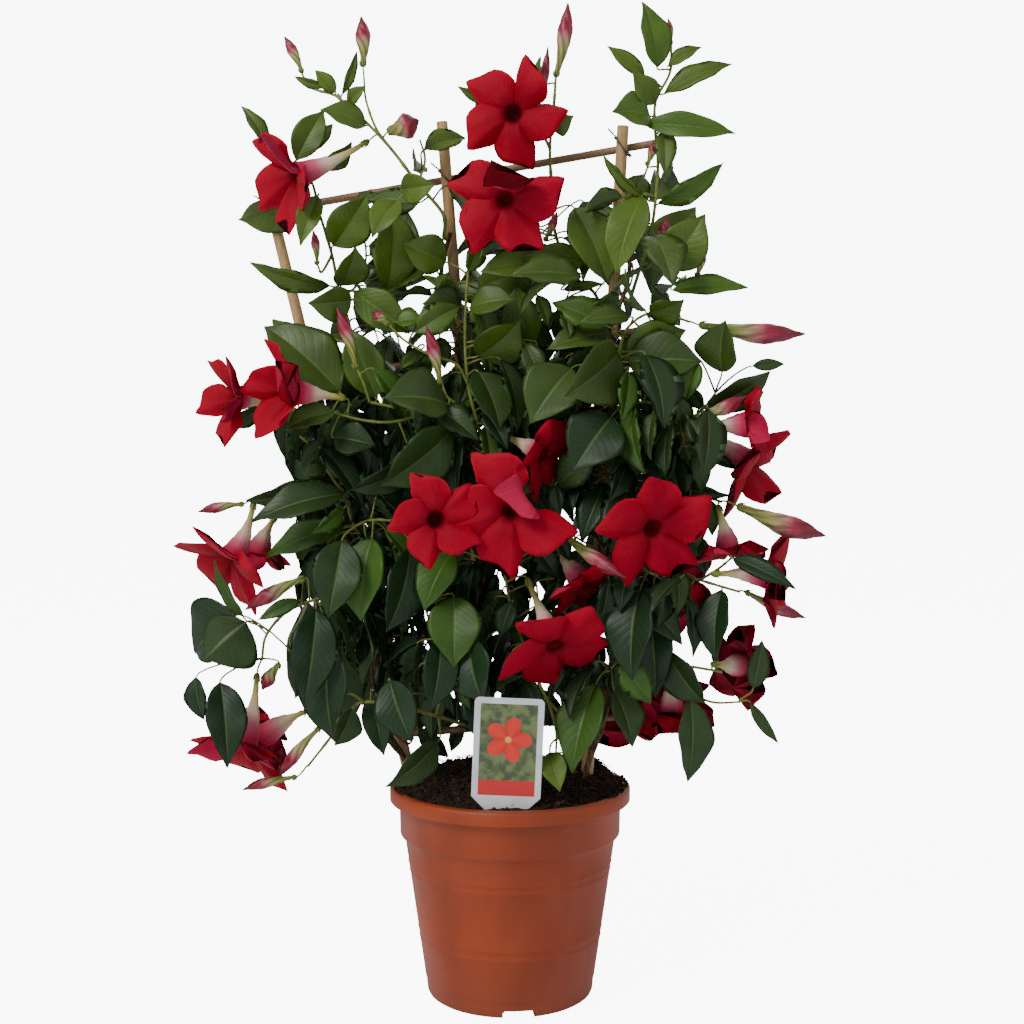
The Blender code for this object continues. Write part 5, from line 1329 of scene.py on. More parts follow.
def addBud(heap, root, tip, half, stalk):
    # petals rolled round each other into a pointed spindle with a slight bend
    run = tip - root
    bend = run.cross(Vector((0, -1, 0))).normalized() * run.length * 0.03
    points = []
    radii = []
    for step in range(19):
        share = step / 18
        points.append(root + run * share + bend * math.sin(math.pi * share))
        radii.append(max(half * alongTable(budTable, share), stalk * (1 - share), 0.25 * mm))
    addTube(heap, points, radii, 15, lambda share: (share, 0.0, 0.5), 0.07, 0.09)


def addSepals(heap, place, heading, radius, size):
    # five small pointed sepals round the foot of a bloom or bud
    side = heading.cross(Vector((0, 0, 1)) if abs(heading.z) < 0.9 else Vector((1, 0, 0))).normalized()
    up = heading.cross(side).normalized()
    for index in range(5):
        angle = math.tau * index / 5
        out = side * math.cos(angle) + up * math.sin(angle)
        points = [place + out * radius * 0.6 + heading * -0.6 * mm]
        points.append(place + out * (radius + 0.5 * mm) + heading * size * 0.3)
        points.append(place + out * (radius + 0.8 * mm) + heading * size * 0.7)
        points.append(place + out * (radius + 1.4 * mm) + heading * size)
        addTube(heap, points, [0.7 * mm, 0.7 * mm, 0.5 * mm, 0.15 * mm], 6, (0.0, 0.1, 0.5))


budsGrown = 0
for spec in budPlaces:
    shoot, origin = nearestStem(seen(*spec.root))
    for rootStep, tipStep in depthSteps:
        root = seen(spec.root[0], spec.root[1], spec.root[2] + rootStep)
        tip = seen(spec.tip[0], spec.tip[1], spec.tip[2] + tipStep)
        if cornersOf[shoot].find(tip)[2] < 0.6 * mm:
            break
    else:
        continue
    half = spec.thick * pixel / 2
    addBud(budHeaps[shoot], root, tip, half, stemSet["petiole"])
    addPetiole(stalkHeaps[shoot], origin, root, tip - root, 0.1)
    addSepals(stalkHeaps[shoot], root, (tip - root).normalized(), half * 0.3, max(2.5 * mm, half * 0.7))
    budsGrown += 1
print("buds grown:", budsGrown)


# Blooms
bloomSet = {
    "throat": 10.5 * mm,
    "petal": 0.55 * mm,
    "rows": 11,
    "lap": 1.3 * mm,  # how far one petal's edge rides over the next
    "ripple": 2.0 * mm,
    "roll": 6.5 * mm,  # how far a petal's sides roll back
    "sink": 6.5 * mm,
    "foldStart": 8.5 * mm,
    "foldCurve": 9.0 * mm,
}
# the throat, as radius and depth in mm and how far along the tube
throatRings = [(9.4, -3.6, 0.62), (8.2, -5.0, 0.60), (6.6, -7.4, 0.56), (5.2, -10.5, 0.48), (3.6, -15.0, 0.2)]
# how far each petal reaches at an angle from its middle: a pinwheel with the point on one side
petalEdge = [
    (-39, 0.54), (-32, 0.66), (-21, 0.82), (-8, 0.90), (6, 0.93), (16, 0.98), (23, 1.10), (27, 1.0), (35, 0.80),
    (45, 0.54),
]
petalColumns = (-39, -34, -27, -18, -9, 0, 8, 15, 20, 24, 28, 33, 39, 45)
tubeTable = [(0.0, 1.9), (0.22, 2.4), (0.38, 3.8), (0.55, 6.4), (0.75, 8.8), (1.0, 10.4)]


def bloomFrame(spec, step):
    calyxStep, heartStep = step
    calyx = seen(spec.calyx[0], spec.calyx[1], spec.calyx[2] + calyxStep)
    heart = seen(spec.heart[0], spec.heart[1], spec.heart[2] + heartStep)
    right, up, near = spec.face
    face = Vector((right, -near, up)).normalized()
    bend = heart - face * 0.45 * (heart - calyx).length
    upright = Vector((0, 0, 1)) if abs(face.z) < 0.8 else Vector((0, -1, 0))
    side = face.cross(upright).normalized()
    return calyx, bend, heart, (bend - calyx).normalized(), face, side, side.cross(face).normalized()


def addBloomTube(heap, spec, made, chance):
    # the tube bends from the calyx, flares into the throat and turns in again
    calyx, bend, heart, first, face, side, top = made
    sides = 25
    rings = []
    marks = []
    traits = []
    end = heart - face * 4 * mm
    for step in range(17):
        share = step / 16
        centre = calyx.lerp(bend, share).lerp(bend.lerp(end, share), share)
        heading = (bend - calyx).lerp(end - bend, share).normalized()
        swing = face.rotation_difference(heading)
        radius = alongTable(tubeTable, share) * mm
        ring = []
        for column in range(sides):
            angle = math.tau * column / sides + math.radians(spec.spin)
            fold = 0.05 * math.cos(5 * angle - 5 * math.radians(spec.spin) + 2.5 * share)
            rib = 1.0 + fold * math.sin(math.pi * min(1.0, share * 1.1))
            ring.append(centre + swing @ (side * math.sin(angle) + top * math.cos(angle)) * radius * rib)
        rings.append(ring)
        marks.append([(column / sides, share) for column in range(sides)])
        traits.append([(0.6 * share, 0.0, chance)] * sides)
    for radius, depth, share in throatRings:
        ring = []
        for column in range(sides):
            angle = math.tau * column / sides + math.radians(spec.spin)
            ring.append(heart + (side * math.sin(angle) + top * math.cos(angle)) * radius * mm + face * depth * mm)
        rings.append(ring)
        marks.append([(column / sides, share) for column in range(sides)])
        traits.append([(share, 1.0, chance)] * sides)
    addLoft(heap, rings, marks, traits)


def foldOver(place, heart, radial, face, fold):
    # rolls what lies beyond the petal's base about a line across it
    run = place - heart
    out = run.dot(radial)
    rise = run.dot(face)
    start = bloomSet["foldStart"]
    if not fold or out <= start:
        return place
    curve = bloomSet["foldCurve"]
    arc = min((out - start) / curve, math.radians(fold))
    rest = out - start - arc * curve
    newOut = start + (curve - rise) * math.sin(arc) + rest * math.cos(arc)
    newRise = curve - (curve - rise) * math.cos(arc) + rest * math.sin(arc)
    return place + radial * (newOut - out) + face * (newRise - rise)


def addPetal(heap, spec, made, lobe, chance, wave, fold):
    calyx, bend, heart, first, face, side, top = made
    middle = math.radians(72.0 * lobe + 4.0 + spec.spin)
    middle = side * math.sin(middle) + top * math.cos(middle)
    rows = bloomSet["rows"]
    size = spec.wide * pixel
    lifts = [spec.lift + value for value in spec.lobes]
    roll = 0.0 if fold > 100 else bloomSet["roll"] * (0.6 + 0.4 * math.sin(wave))
    tipTurn = 16.0 * math.sin(wave * 1.7)
    columns = []
    for degrees in petalColumns:
        # follows one line of the petal out from the throat, turning as it goes
        near = lifts[(lobe + 1) % 5] if degrees > 3 else lifts[lobe - 1]
        toEdge = easeInto(0.35, 1.2, abs(degrees - 3) / 42)
        lift = lifts[lobe] * (1 - 0.3 * toEdge) + near * 0.3 * toEdge
        angle = math.radians(72.0 * lobe + degrees + spec.spin)
        radial = side * math.sin(angle) + top * math.cos(angle)
        length = size * alongTable(petalEdge, degrees) - bloomSet["throat"] * 0.62
        place = heart + radial * bloomSet["throat"] * 0.62 - face * bloomSet["sink"]
        aside = (degrees - 3) / 42
        line = []
        for row in range(rows):
            share = row / (rows - 1)
            funnel = 62.0 * (1.0 - easeInto(0.0, 0.34, share))
            turn = math.radians(lift + funnel + tipTurn * share ** 2)
            normal = face * math.cos(turn) - radial * math.sin(turn)
            if row:
                place = place + (radial * math.cos(turn) + face * math.sin(turn)) * length / (rows - 1)
            lap = -bloomSet["lap"] * aside * min(1.0, share * 3)
            crown = 2.4 * mm * math.sin(math.pi * share ** 0.9) * (1.0 - aside * aside)
            rolled = -roll * abs(aside) ** 2.2 * share ** 1.5
            ripple = bloomSet["ripple"] * share ** 2 * math.sin(degrees * 0.15 + wave)
            ripple *= 0.6 + 0.4 * math.sin(wave * 2)
            curl = -2.6 * mm * share ** 4 * max(0.0, math.cos(math.radians(degrees - 23) * 3))
            line.append((place + normal * (lap + crown + rolled + ripple + curl), normal, share))
        columns.append(line)
    rings = []
    marks = []
    traits = []
    for row in range(rows):
        front = []
        back = []
        share = row / (rows - 1)
        thick = bloomSet["petal"] * (1.0 - 0.55 * share)
        for line in columns:
            place, normal, passed = line[row]
            front.append(foldOver(place + normal * thick / 2, heart, middle, face, fold))
            back.append(foldOver(place - normal * thick / 2, heart, middle, face, fold))
        rings.append(front + back[::-1])
        mark = [((degrees + 39) / 84, share) for degrees in petalColumns]
        marks.append(mark + mark[::-1])
        outward = 0.6 + 0.4 * share
        traits.append([(outward, 1.0, chance)] * len(front) + [(outward, 0.0, chance)] * len(back))
    addLoft(heap, rings, marks, traits)


def limbPlace(spec, made, column):
    # a corner of the solid's limb, to find which step the bloom took
    heart, face, side, top = made[2], made[4], made[5], made[6]
    lobe = column // 3
    lift = spec.lift + spec.lobes[lobe]
    if column % 3 == 0:
        lift = spec.lift + (spec.lobes[lobe] + spec.lobes[lobe - 1]) / 2
    lift = math.radians(lift)
    angle = math.radians(72.0 * lobe + (-30.0, -4.0, 24.0)[column % 3] + spec.spin)
    radial = side * math.sin(angle) + top * math.cos(angle)
    reach = spec.wide * pixel * (0.58, 0.95, 1.0)[column % 3] - bloomSet["throat"]
    return heart + radial * (bloomSet["throat"] + reach * math.cos(lift)) + face * reach * math.sin(lift)


# petals that fold forward over the throat and show their paler backs: petal number and degrees
foldedPetals = {
    "bloom_middle_top": {0: 166},
    "bloom_front": {4: 166},
    "bloom_crown": {4: 40},
    "bloom_front_low": {0: 12},
    "bloom_front_right": {4: 22},
    "bloom_left_upper": {4: 30, 1: 20},
    "bloom_right_upper_low": {3: 26},
    "bloom_left": {1: 24},
    "bloom_low_left": {3: 24},
}
chance = random.Random(3)
bloomTrees = []
blooms = 0
for name, spec in bloomPlaces.items():
    corners = nodes[name].data.vertices
    tree = KDTree(len(corners))
    for vertex in corners:
        tree.insert(vertex.co, vertex.index)
    tree.balance()
    fits = []
    for step in depthSteps:
        made = bloomFrame(spec, step)
        fits.append((sum(tree.find(limbPlace(spec, made, c))[2] for c in (2, 5, 8, 11)), step))
    made = bloomFrame(spec, min(fits)[1])
    shoot, origin = nearestStem(seen(*spec.calyx))
    heap = newHeap()
    tone = chance.random()
    addBloomTube(heap, spec, made, tone)
    for lobe in range(5):
        folded = foldedPetals.get(name, {}).get(lobe, 0.0)
        addPetal(heap, spec, made, lobe, tone, chance.uniform(0, 6), folded)
    bloomTrees.append(treeOfFaces(heap["points"], heap["faces"]))
    addHeap("bloom" + titleOf(name), heap, finishes["petal"], "petal_red", name)
    # its stalk, in the shoot's own piece
    calyx, first = made[0], made[3]
    addPetiole(stalkHeaps[shoot], origin, calyx - first * 0.5 * mm, first, 0.05)
    addSepals(stalkHeaps[shoot], calyx, first, 1.9 * mm, 7 * mm)
    blooms += 1
print("blooms grown:", blooms)

chance = random.Random(7)
grown = 0
for index, spec in enumerate(leafPlaces + backLeaves()):
    shoot, origin = nearestStem(seen(*spec.base, spec.near[0]))
    last = 0.45 if spec.wide < 35 else 0.6
    for step in depthSteps:
        made = leafFrame(spec, index, step)
        root, along = made[:2]
        if isThere(shoot, (root + along, cadLeafPoint(made, spec.cup, last, -1.0))):
            break
    else:
        continue
    tone = chance.random()
    youth = min(1.0, max(0.0, youthAt(root + along * 0.5) + chance.uniform(-0.2, 0.22)))
    if spec.base == (550, 752):
        youth = 1.0
    made = clearOfBlooms(made, spec.cup)
    fine = spec.wide >= leafSet["fineWidth"]
    addLeaf(leafHeaps[shoot], made, spec.cup, (tone, youth), fine, chance.uniform(0, 6))
    addPetiole(stalkHeaps[shoot], origin, root, along, 0.5 * (1 - youth))
    grown += 1
print("leaves grown:", grown)


# Inner leaves: more of the same in the dark middle of the plant, where nothing else stands
innerSet = {
    "count": 8200,  # tries
    "toView": 0.62,  # share that leans to the view
    "high": 0.4,  # share kept of those that start above the edge
    "length": (38, 66),  # mm
    "fillWindow": (280, 715, 200, 750),  # pixels of the view, where gaps are sought
    "fillTries": 5000,
    "fillAttempts": 8,
    "fillLength": (22, 50),  # mm
    "seed": 11,
    "edge": [(286, 430), (350, 330), (420, 360), (500, 300), (600, 320), (690, 340), (712, 460), (690, 600),
             (655, 690), (610, 752), (520, 700), (430, 752), (350, 700), (300, 600), (300, 520)],
    "upper": [(330, 200), (420, 150), (470, 230), (560, 230), (620, 150), (690, 180), (690, 340), (350, 350)],
}


def insideEdge(edge, u, v):
    inside = False
    for (u1, v1), (u2, v2) in zip(edge, edge[1:] + edge[:1]):
        if (v1 > v) != (v2 > v) and u < (u2 - u1) * (v - v1) / (v2 - v1) + u1:
            inside = not inside
    return inside


chance = random.Random(innerSet["seed"])
standing = [treeOfNode(name) for name in nodes if not name.startswith(("pot", "soil", "bloom"))] + bloomTrees
innerPoints = []
for vine in vinePlaces:
    innerPoints += smoothRun(vineRun(vine), 120)[14:112]
innerPoints += [place for name, place in samples]
added = 0
for tries in range(innerSet["count"]):
    start = chance.choice(innerPoints)
    u, v = pixelOf(start)
    low = insideEdge(innerSet["edge"], u, v)
    if not low and not (insideEdge(innerSet["upper"], u, v) and chance.random() < innerSet["high"]):
        continue
    toView = chance.random() < innerSet["toView"]
    facing = chance.uniform(-0.5, math.pi + 0.5) if toView else chance.uniform(math.pi, math.tau)
    outward = Vector((math.cos(facing), -math.sin(facing), 0.0))
    droop = chance.uniform(-2.2, -0.5) if low else chance.uniform(-0.7, 0.5)
    sideways = Vector((math.sin(facing), math.cos(facing), 0))
    heading = outward * chance.uniform(0.15, 1.0) + sideways * chance.uniform(-0.8, 0.8) + Vector((0, 0, droop))
    heading.normalize()
    root = start + outward * chance.uniform(8, 30) * mm + Vector((0, 0, chance.uniform(-4, 6) * mm))
    along = heading * chance.uniform(*innerSet["length"]) * mm
    tip = root + along
    u, v = pixelOf(tip)
    trellis = 0.217 * (u - 490) * mm
    inside = insideEdge(innerSet["edge"] if low else innerSet["upper"], u, v)
    if not inside or tip.z < 0.2 or abs(-tip.y - trellis) > 64 * mm:
        continue
    out = (outward * 0.9 + Vector((0, 0, 0.35)) + Vector([chance.uniform(-0.3, 0.3) for axis in range(3)]))
    out = (out - heading * out.dot(heading)).normalized()
    half = along.length * chance.uniform(0.24, 0.32)
    made = (root, along, out.cross(heading).normalized(), out, half, Vector())
    places, faces = sparseLeaf(made, 0.16)
    test = treeOfFaces(places, faces)
    if any(test.overlap(other) for other in standing):
        continue
    standing.append(test)
    shoot, origin = nearestStem(root)
    youth = min(1.0, max(0.0, youthAt(tip) * 0.9 + chance.uniform(-0.2, 0.1)))
    addLeaf(leafHeaps[shoot], made, 0.16, (chance.random(), youth), False, chance.uniform(0, 6))
    nearest = start if (start - root).length < (origin - root).length else origin
    addPetiole(stalkHeaps[shoot], nearest, root, along, 0.5)
    added += 1
print("inner leaves grown:", added)


def seesThrough(u, v):
    # whether the view's ray through this pixel meets no part of the plant
    ray = (seen(u, v, 0.0) - viewSet["point"]).normalized()
    return all(tree.ray_cast(viewSet["point"], ray)[0] is None for tree in standing)


added = 0
leftmost, rightmost, highest, lowest = innerSet["fillWindow"]
for tries in range(innerSet["fillTries"]):
    u, v = chance.uniform(leftmost, rightmost), chance.uniform(highest, lowest)
    if not insideEdge(innerSet["edge"], u, v) or not seesThrough(u, v):
        continue
    middle = seen(u, v, 0.217 * (u - 490) + chance.choice((-1, 1)) * chance.uniform(6, 50))
    for attempt in range(innerSet["fillAttempts"]):
        heading = Vector((chance.uniform(-0.8, 0.8), chance.uniform(-0.5, 0.3), chance.uniform(-2.0, -0.3)))
        heading.normalize()
        along = heading * chance.uniform(*innerSet["fillLength"]) * mm
        out = Vector((chance.uniform(-0.6, 0.6), -1.0, chance.uniform(-0.1, 0.7)))
        out = (out - heading * out.dot(heading)).normalized()
        half = along.length * chance.uniform(0.22, 0.32)
        root = middle - along * chance.uniform(0.35, 0.6)
        made = (root, along, out.cross(heading).normalized(), out, half, Vector())
        test = treeOfFaces(*sparseLeaf(made, 0.16))
        if any(test.overlap(other) for other in standing):
            continue
        standing.append(test)
        shoot, origin = nearestStem(made[0])
        youth = min(1.0, max(0.0, youthAt(middle) * 0.9 + chance.uniform(-0.2, 0.1)))
        addLeaf(leafHeaps[shoot], made, 0.16, (chance.random(), youth), False, chance.uniform(0, 6))
        addPetiole(stalkHeaps[shoot], origin, made[0], along, 0.5)
        added += 1
        break
print("leaves grown in the gaps:", added)

for name in stemPlaces:
    addHeap("leaves" + titleOf(name), leafHeaps[name], finishes["leaf"], "leaf_green", name)
    addHeap("stalks" + titleOf(name), stalkHeaps[name], finishes["stalk"], "leaf_green", name)
    if budHeaps[name]["points"]:
        addHeap("buds" + titleOf(name), budHeaps[name], finishes["bud"], "petal_red")
print("shoots made")


# Pot
potSet = {
    "sharp": 38.0,  # degrees between faces that meet at an edge
    "lipRadius": 98.0 * mm,
    "lipHeight": 11.4 * mm,
    "height": 171.0 * mm,
    "bandRadius": 90.4 * mm,
    "bandFoot": 131.8 * mm,
    "bodyRadius": 85.6 * mm,
    "baseRadius": 68.8 * mm,
    "wall": 1.6 * mm,
    "floor": 9.0 * mm,
    "steps": 160,
    "channels": 3,
    "channelWidth": 25.0 * mm,
    "channelHeight": 6.5 * mm,
    "channelStart": 30.0 * mm,
    "channelTurn": 6.0,
    "drainRadius": 5.0 * mm,
    "drainPlace": 46.0 * mm,
    "rings": (0.1095, 0.1031, 0.0556, 0.0482),  # heights of the faint moulded rings
}


def potProfile():
    p = potSet
    top = p["height"]
    low = top - p["lipHeight"]
    outer = [
        (p["bandRadius"] + 0.6 * mm, top - 0.4 * mm),
        (p["bandRadius"] + 1.2 * mm, top),
        (p["lipRadius"] - 2.4 * mm, top),
        (p["lipRadius"] - 0.9 * mm, top - 0.6 * mm),
        (p["lipRadius"], top - 2.0 * mm),
        (p["lipRadius"], low + 0.5 * mm),
        (p["lipRadius"] - 0.4 * mm, low),
        (p["lipRadius"] - p["wall"], low),
        (p["lipRadius"] - p["wall"], top - 3.4 * mm),
        (p["lipRadius"] - p["wall"] - 1 * mm, top - 3.0 * mm),
        (p["bandRadius"] + 0.6 * mm, top - 3.0 * mm),
        (p["bandRadius"], top - 3.8 * mm),
        (p["bandRadius"] - 0.75 * mm, p["bandFoot"] + 1.2 * mm),
        (p["bandRadius"] - 1.2 * mm, p["bandFoot"] + 0.2 * mm),
        (p["bodyRadius"] + 1.0 * mm, p["bandFoot"] - 2.4 * mm),
        (p["bodyRadius"], p["bandFoot"] - 3.8 * mm),
    ]

    def bodyAt(height):
        share = (height - 11 * mm) / (p["bandFoot"] - 3.4 * mm - 11 * mm)
        return p["baseRadius"] + (p["bodyRadius"] - p["baseRadius"]) * share

    for height in p["rings"]:
        outer += [
            (bodyAt(height + 0.9 * mm), height + 0.9 * mm),
            (bodyAt(height) + 0.28 * mm, height + 0.35 * mm),
            (bodyAt(height) + 0.28 * mm, height - 0.35 * mm),
            (bodyAt(height - 0.9 * mm), height - 0.9 * mm),
        ]
    outer += [
        (bodyAt(15 * mm), 15 * mm),
        (bodyAt(14.2 * mm) - 0.1 * mm, 14.2 * mm),
        (bodyAt(13.6 * mm) - 0.5 * mm, 13.6 * mm),
        (p["baseRadius"] - 0.6 * mm, 8 * mm),
        (p["baseRadius"] - 1.0 * mm, 4 * mm),
        (p["baseRadius"] - 2.2 * mm, 1.4 * mm),
        (p["baseRadius"] - 4.2 * mm, 0.0),
        (0.0, 0.0),
        (0.0, p["floor"]),
        (p["baseRadius"] - 5 * mm, p["floor"]),
        (p["baseRadius"] - p["wall"], p["floor"] + 4 * mm),
        (p["bodyRadius"] - p["wall"], p["bandFoot"] - 3 * mm),
        (p["bandRadius"] - 0.8 * mm - p["wall"], p["bandFoot"] + 1 * mm),
        (p["bandRadius"] - p["wall"], top - 2.4 * mm),
        (p["bandRadius"] + 0.2 * mm, top - 1.2 * mm),
        (p["bandRadius"] + 0.6 * mm, top - 0.4 * mm),
    ]
    return outer


def makePot():
    mesh = bpy.data.meshes.new("potTurned")
    corners = [(radius, 0.0, height) for radius, height in potProfile()]
    mesh.from_pydata(corners, [(i, i + 1) for i in range(len(corners) - 1)], [])
    holder = newObject("potTurned", mesh)
    turn = holder.modifiers.new("turn", "SCREW")
    turn.steps = potSet["steps"]
    turn.render_steps = potSet["steps"]
    turn.use_merge_vertices = True
    turn.merge_threshold = 0.01 * mm
    cutters = []
    reach = potSet["baseRadius"] + 6 * mm
    for index in range(potSet["channels"]):
        angle = math.radians(potSet["channelTurn"] - 90.0 + 360.0 / potSet["channels"] * index)
        bm = bmesh.new()
        bmesh.ops.create_cube(bm, size=1.0)
        size = (reach - potSet["channelStart"], potSet["channelWidth"], potSet["channelHeight"] * 2)
        bmesh.ops.scale(bm, vec=size, verts=bm.verts)
        bmesh.ops.bevel(bm, geom=bm.edges, offset=1.2 * mm, segments=2, affect="EDGES")
        hole = {"radius1": potSet["drainRadius"], "radius2": potSet["drainRadius"], "depth": potSet["floor"]}
        drain = bmesh.ops.create_cone(bm, cap_ends=True, segments=20, **hole)
        middle = (reach + potSet["channelStart"]) / 2
        bmesh.ops.translate(bm, vec=(potSet["drainPlace"] - middle, 0, potSet["floor"]), verts=drain["verts"])
        cutter = newObject("channel", meshFrom(bm, "channel"))
        cutter.location = (middle * math.cos(angle), middle * math.sin(angle), 0.0)
        cutter.rotation_euler = (0.0, 0.0, angle)
        cutters.append(cutter)
        away = holder.modifiers.new("cut", "BOOLEAN")
        away.object = cutter
        away.operation = "DIFFERENCE"
        away.solver = "EXACT"
        away.use_self = True
    bpy.context.view_layer.update()
    made = applyModifiers(holder)
    for item in cutters + [holder]:
        bpy.data.objects.remove(item)
    finishMesh(made, 0.01 * mm)
    made.set_sharp_from_angle(angle=math.radians(potSet["sharp"]))
    return made


potMesh = makePot()
addPiece("potTurned", potMesh, finishes["clay"], "clay_plastic", "pot")
print("pot made:", len(potMesh.polygons), "faces")


# Soil: the mound, then loose crumbs and fibres spread over it
soilSet = {
    "rise": 12.0 * mm,
    "hump": 16.0 * mm,
    "columns": 150,
    "rows": 46,
    "clump": 4.2 * mm,
    "crumbs": 2600,
    "clods": 240,
    "fibres": 700,
    "seed": 5,
}


def soilHeight(x, y):
    radius = math.hypot(x, y) / potSet["bandRadius"]
    hump = math.exp(-((x - 0.066) ** 2 + (y - 0.01) ** 2) / 0.0011)
    left = 0.5 * math.exp(-((x + 0.058) ** 2 + (y + 0.02) ** 2) / 0.0009)
    bumps = 0.0012 * math.sin(x * 210 + 1.0) * math.sin(y * 190 + 0.4)
    rise = (soilSet["rise"] + soilSet["hump"] * (hump + left)) * max(0.0, 1 - radius ** 6)
    return potSet["height"] - 4 * mm + rise + bumps


def soilBumps(x, y):
    place = Vector((x, y, 0.0))
    coarse = noise.fractal(place * 70, 0.8, 2.1, 3)
    fine = noise.fractal(place * 260 + Vector((4, 2, 7)), 0.7, 2.0, 3)
    return soilSet["clump"] * (0.75 * coarse + 0.4 * fine)


def makeSoil():
    heap = newHeap()
    edge = potSet["bandRadius"] - potSet["wall"] - 1.6 * mm
    rings = []
    under = [
        (potSet["baseRadius"] - 6 * mm, potSet["floor"] + 0.3 * mm),
        (potSet["baseRadius"] - potSet["wall"] - 1.4 * mm, potSet["floor"] + 5 * mm),
        (potSet["bodyRadius"] - potSet["wall"] - 1.4 * mm, potSet["bandFoot"] - 4 * mm),
        (potSet["bandRadius"] - potSet["wall"] - 2.4 * mm, potSet["bandFoot"] + 3 * mm),
    ]
    columns = soilSet["columns"]
    for radius, height in under:
        rings.append([
            Vector((radius * math.cos(math.tau * c / columns), radius * math.sin(math.tau * c / columns), height))
            for c in range(columns)
        ])
    for row in range(soilSet["rows"]):
        radius = edge * (1.0 - row / soilSet["rows"])
        ring = []
        for column in range(columns):
            angle = math.tau * column / columns
            x = radius * math.cos(angle)
            y = radius * math.sin(angle)
            ring.append(Vector((x, y, soilHeight(x, y) + soilBumps(x, y) * min(1.0, row / 2))))
        rings.append(ring)
    marks = [[(0.0, 0.0)] * columns for ring in rings]
    traits = [[(0.5, 0.5, 0.5)] * columns for ring in rings]
    addLoft(heap, rings, marks, traits)
    return meshOfHeap("peatMound", heap)


soilMesh = makeSoil()
addPiece("peatMound", soilMesh, finishes["peat"], "peat", "soil")


def buildScatter(name, finish):
    # spreads a small shape over a surface, turned and sized by chance
    group = bpy.data.node_groups.new(name, "GeometryNodeTree")
    group.interface.new_socket("Geometry", in_out="INPUT", socket_type="NodeSocketGeometry")
    group.interface.new_socket("Shape", in_out="INPUT", socket_type="NodeSocketObject")
    sizes = {}
    for title, kind, value in (
        ("Density", "NodeSocketFloat", 1000.0),
        ("Least", "NodeSocketFloat", 0.5),
        ("Most", "NodeSocketFloat", 1.5),
        ("Tilt", "NodeSocketFloat", 3.14),
        ("Seed", "NodeSocketInt", 1),
    ):
        sizes[title] = group.interface.new_socket(title, in_out="INPUT", socket_type=kind)
        sizes[title].default_value = value
    group.interface.new_socket("Geometry", in_out="OUTPUT", socket_type="NodeSocketGeometry")
    given = group.nodes.new("NodeGroupInput").outputs
    wanted = group.nodes.new("NodeGroupOutput").inputs
    chosen = {"Mesh": given["Geometry"], "Density": given["Density"], "Seed": given["Seed"]}
    spread = putNode(group, "GeometryNodeDistributePointsOnFaces", chosen)
    shape = putNode(group, "GeometryNodeObjectInfo", {"Object": given["Shape"]})
    turn = putNode(group, "FunctionNodeRandomValue", data_type="FLOAT_VECTOR")
    group.links.new(given["Tilt"], turn.inputs[1])
    group.links.new(given["Seed"], turn.inputs["Seed"])
    scale = putNode(group, "FunctionNodeRandomValue", data_type="FLOAT")
    group.links.new(given["Least"], scale.inputs[2])
    group.links.new(given["Most"], scale.inputs[3])
    group.links.new(given["Seed"], scale.inputs["Seed"])
    placed = putNode(
        group,
        "GeometryNodeInstanceOnPoints",
        {
            "Points": spread.outputs["Points"],
            "Instance": shape.outputs["Geometry"],
            "Rotation": turn.outputs[0],
            "Scale": scale.outputs[1],
        },
    )
    real = putNode(group, "GeometryNodeRealizeInstances", {0: placed.outputs[0]})
    dressed = putNode(group, "GeometryNodeSetMaterial", {"Geometry": real.outputs[0], "Material": finish})
    group.links.new(dressed.outputs[0], wanted[0])
    return group


def crumbShape():
    # a lumpy pebble of peat about 2 mm across
    bm = bmesh.new()
    bmesh.ops.create_icosphere(bm, subdivisions=1, radius=1.0 * mm)
    for vert in bm.verts:
        vert.co *= 1.0 + 0.35 * noise.noise(vert.co * 1400)
        vert.co.z *= 0.7
    mesh = bpy.data.meshes.new("crumb")
    bm.to_mesh(mesh)
    bm.free()
    return mesh


def fibreShape():
    # a thin curved root or bark fibre about 11 mm long
    heap = newHeap()
    points = []
    for t in (0, 0.2, 0.4, 0.6, 0.8, 1.0):
        points.append(Vector(((t - 0.5) * 11 * mm, 2.2 * mm * math.sin(t * 3.1), 1.2 * mm * math.sin(t * 5.0))))
    radii = [0.1 * mm, 0.28 * mm, 0.32 * mm, 0.3 * mm, 0.22 * mm, 0.08 * mm]
    addTube(heap, points, radii, 4, (0.5, 0.5, 0.5))
    mesh = bpy.data.meshes.new("fibre")
    mesh.from_pydata(heap["points"], [], heap["faces"])
    return mesh


def scatterOn(name, patch, shape, finish, values):
    # the patch carries the modifier; its result becomes a plain piece
    group = buildScatter(name, finish)
    holder = newObject(name, patch)
    pattern = newObject(name + "Shape", shape)
    spread = holder.modifiers.new("spread", "NODES")
    spread.node_group = group
    values = dict(values, Shape=pattern)
    for item in group.interface.items_tree:
        if item.item_type == "SOCKET" and item.in_out == "INPUT" and item.name in values:
            spread[item.identifier] = values[item.name]
    bpy.context.view_layer.update()
    made = applyModifiers(holder)
    for item in (holder, pattern):
        bpy.data.objects.remove(item)
    return finishMesh(made)


def soilPatch(low, high, rise):
    # the top of the mound between two radii, as an open sheet to spread things on
    bm = bmesh.new()
    rows = []
    for row in range(13):
        radius = low + (high - low) * row / 12
        ring = []
        for column in range(72):
            angle = math.tau * column / 72
            x = radius * math.cos(angle)
            y = radius * math.sin(angle)
            ring.append(bm.verts.new((x, y, rise(x, y))))
        rows.append(ring)
    for first, second in zip(rows, rows[1:]):
        for column in range(72):
            after = (column + 1) % 72
            bm.faces.new((first[column], second[column], second[after], first[after]))
    mesh = bpy.data.meshes.new("patch")
    bm.to_mesh(mesh)
    bm.free()
    return mesh


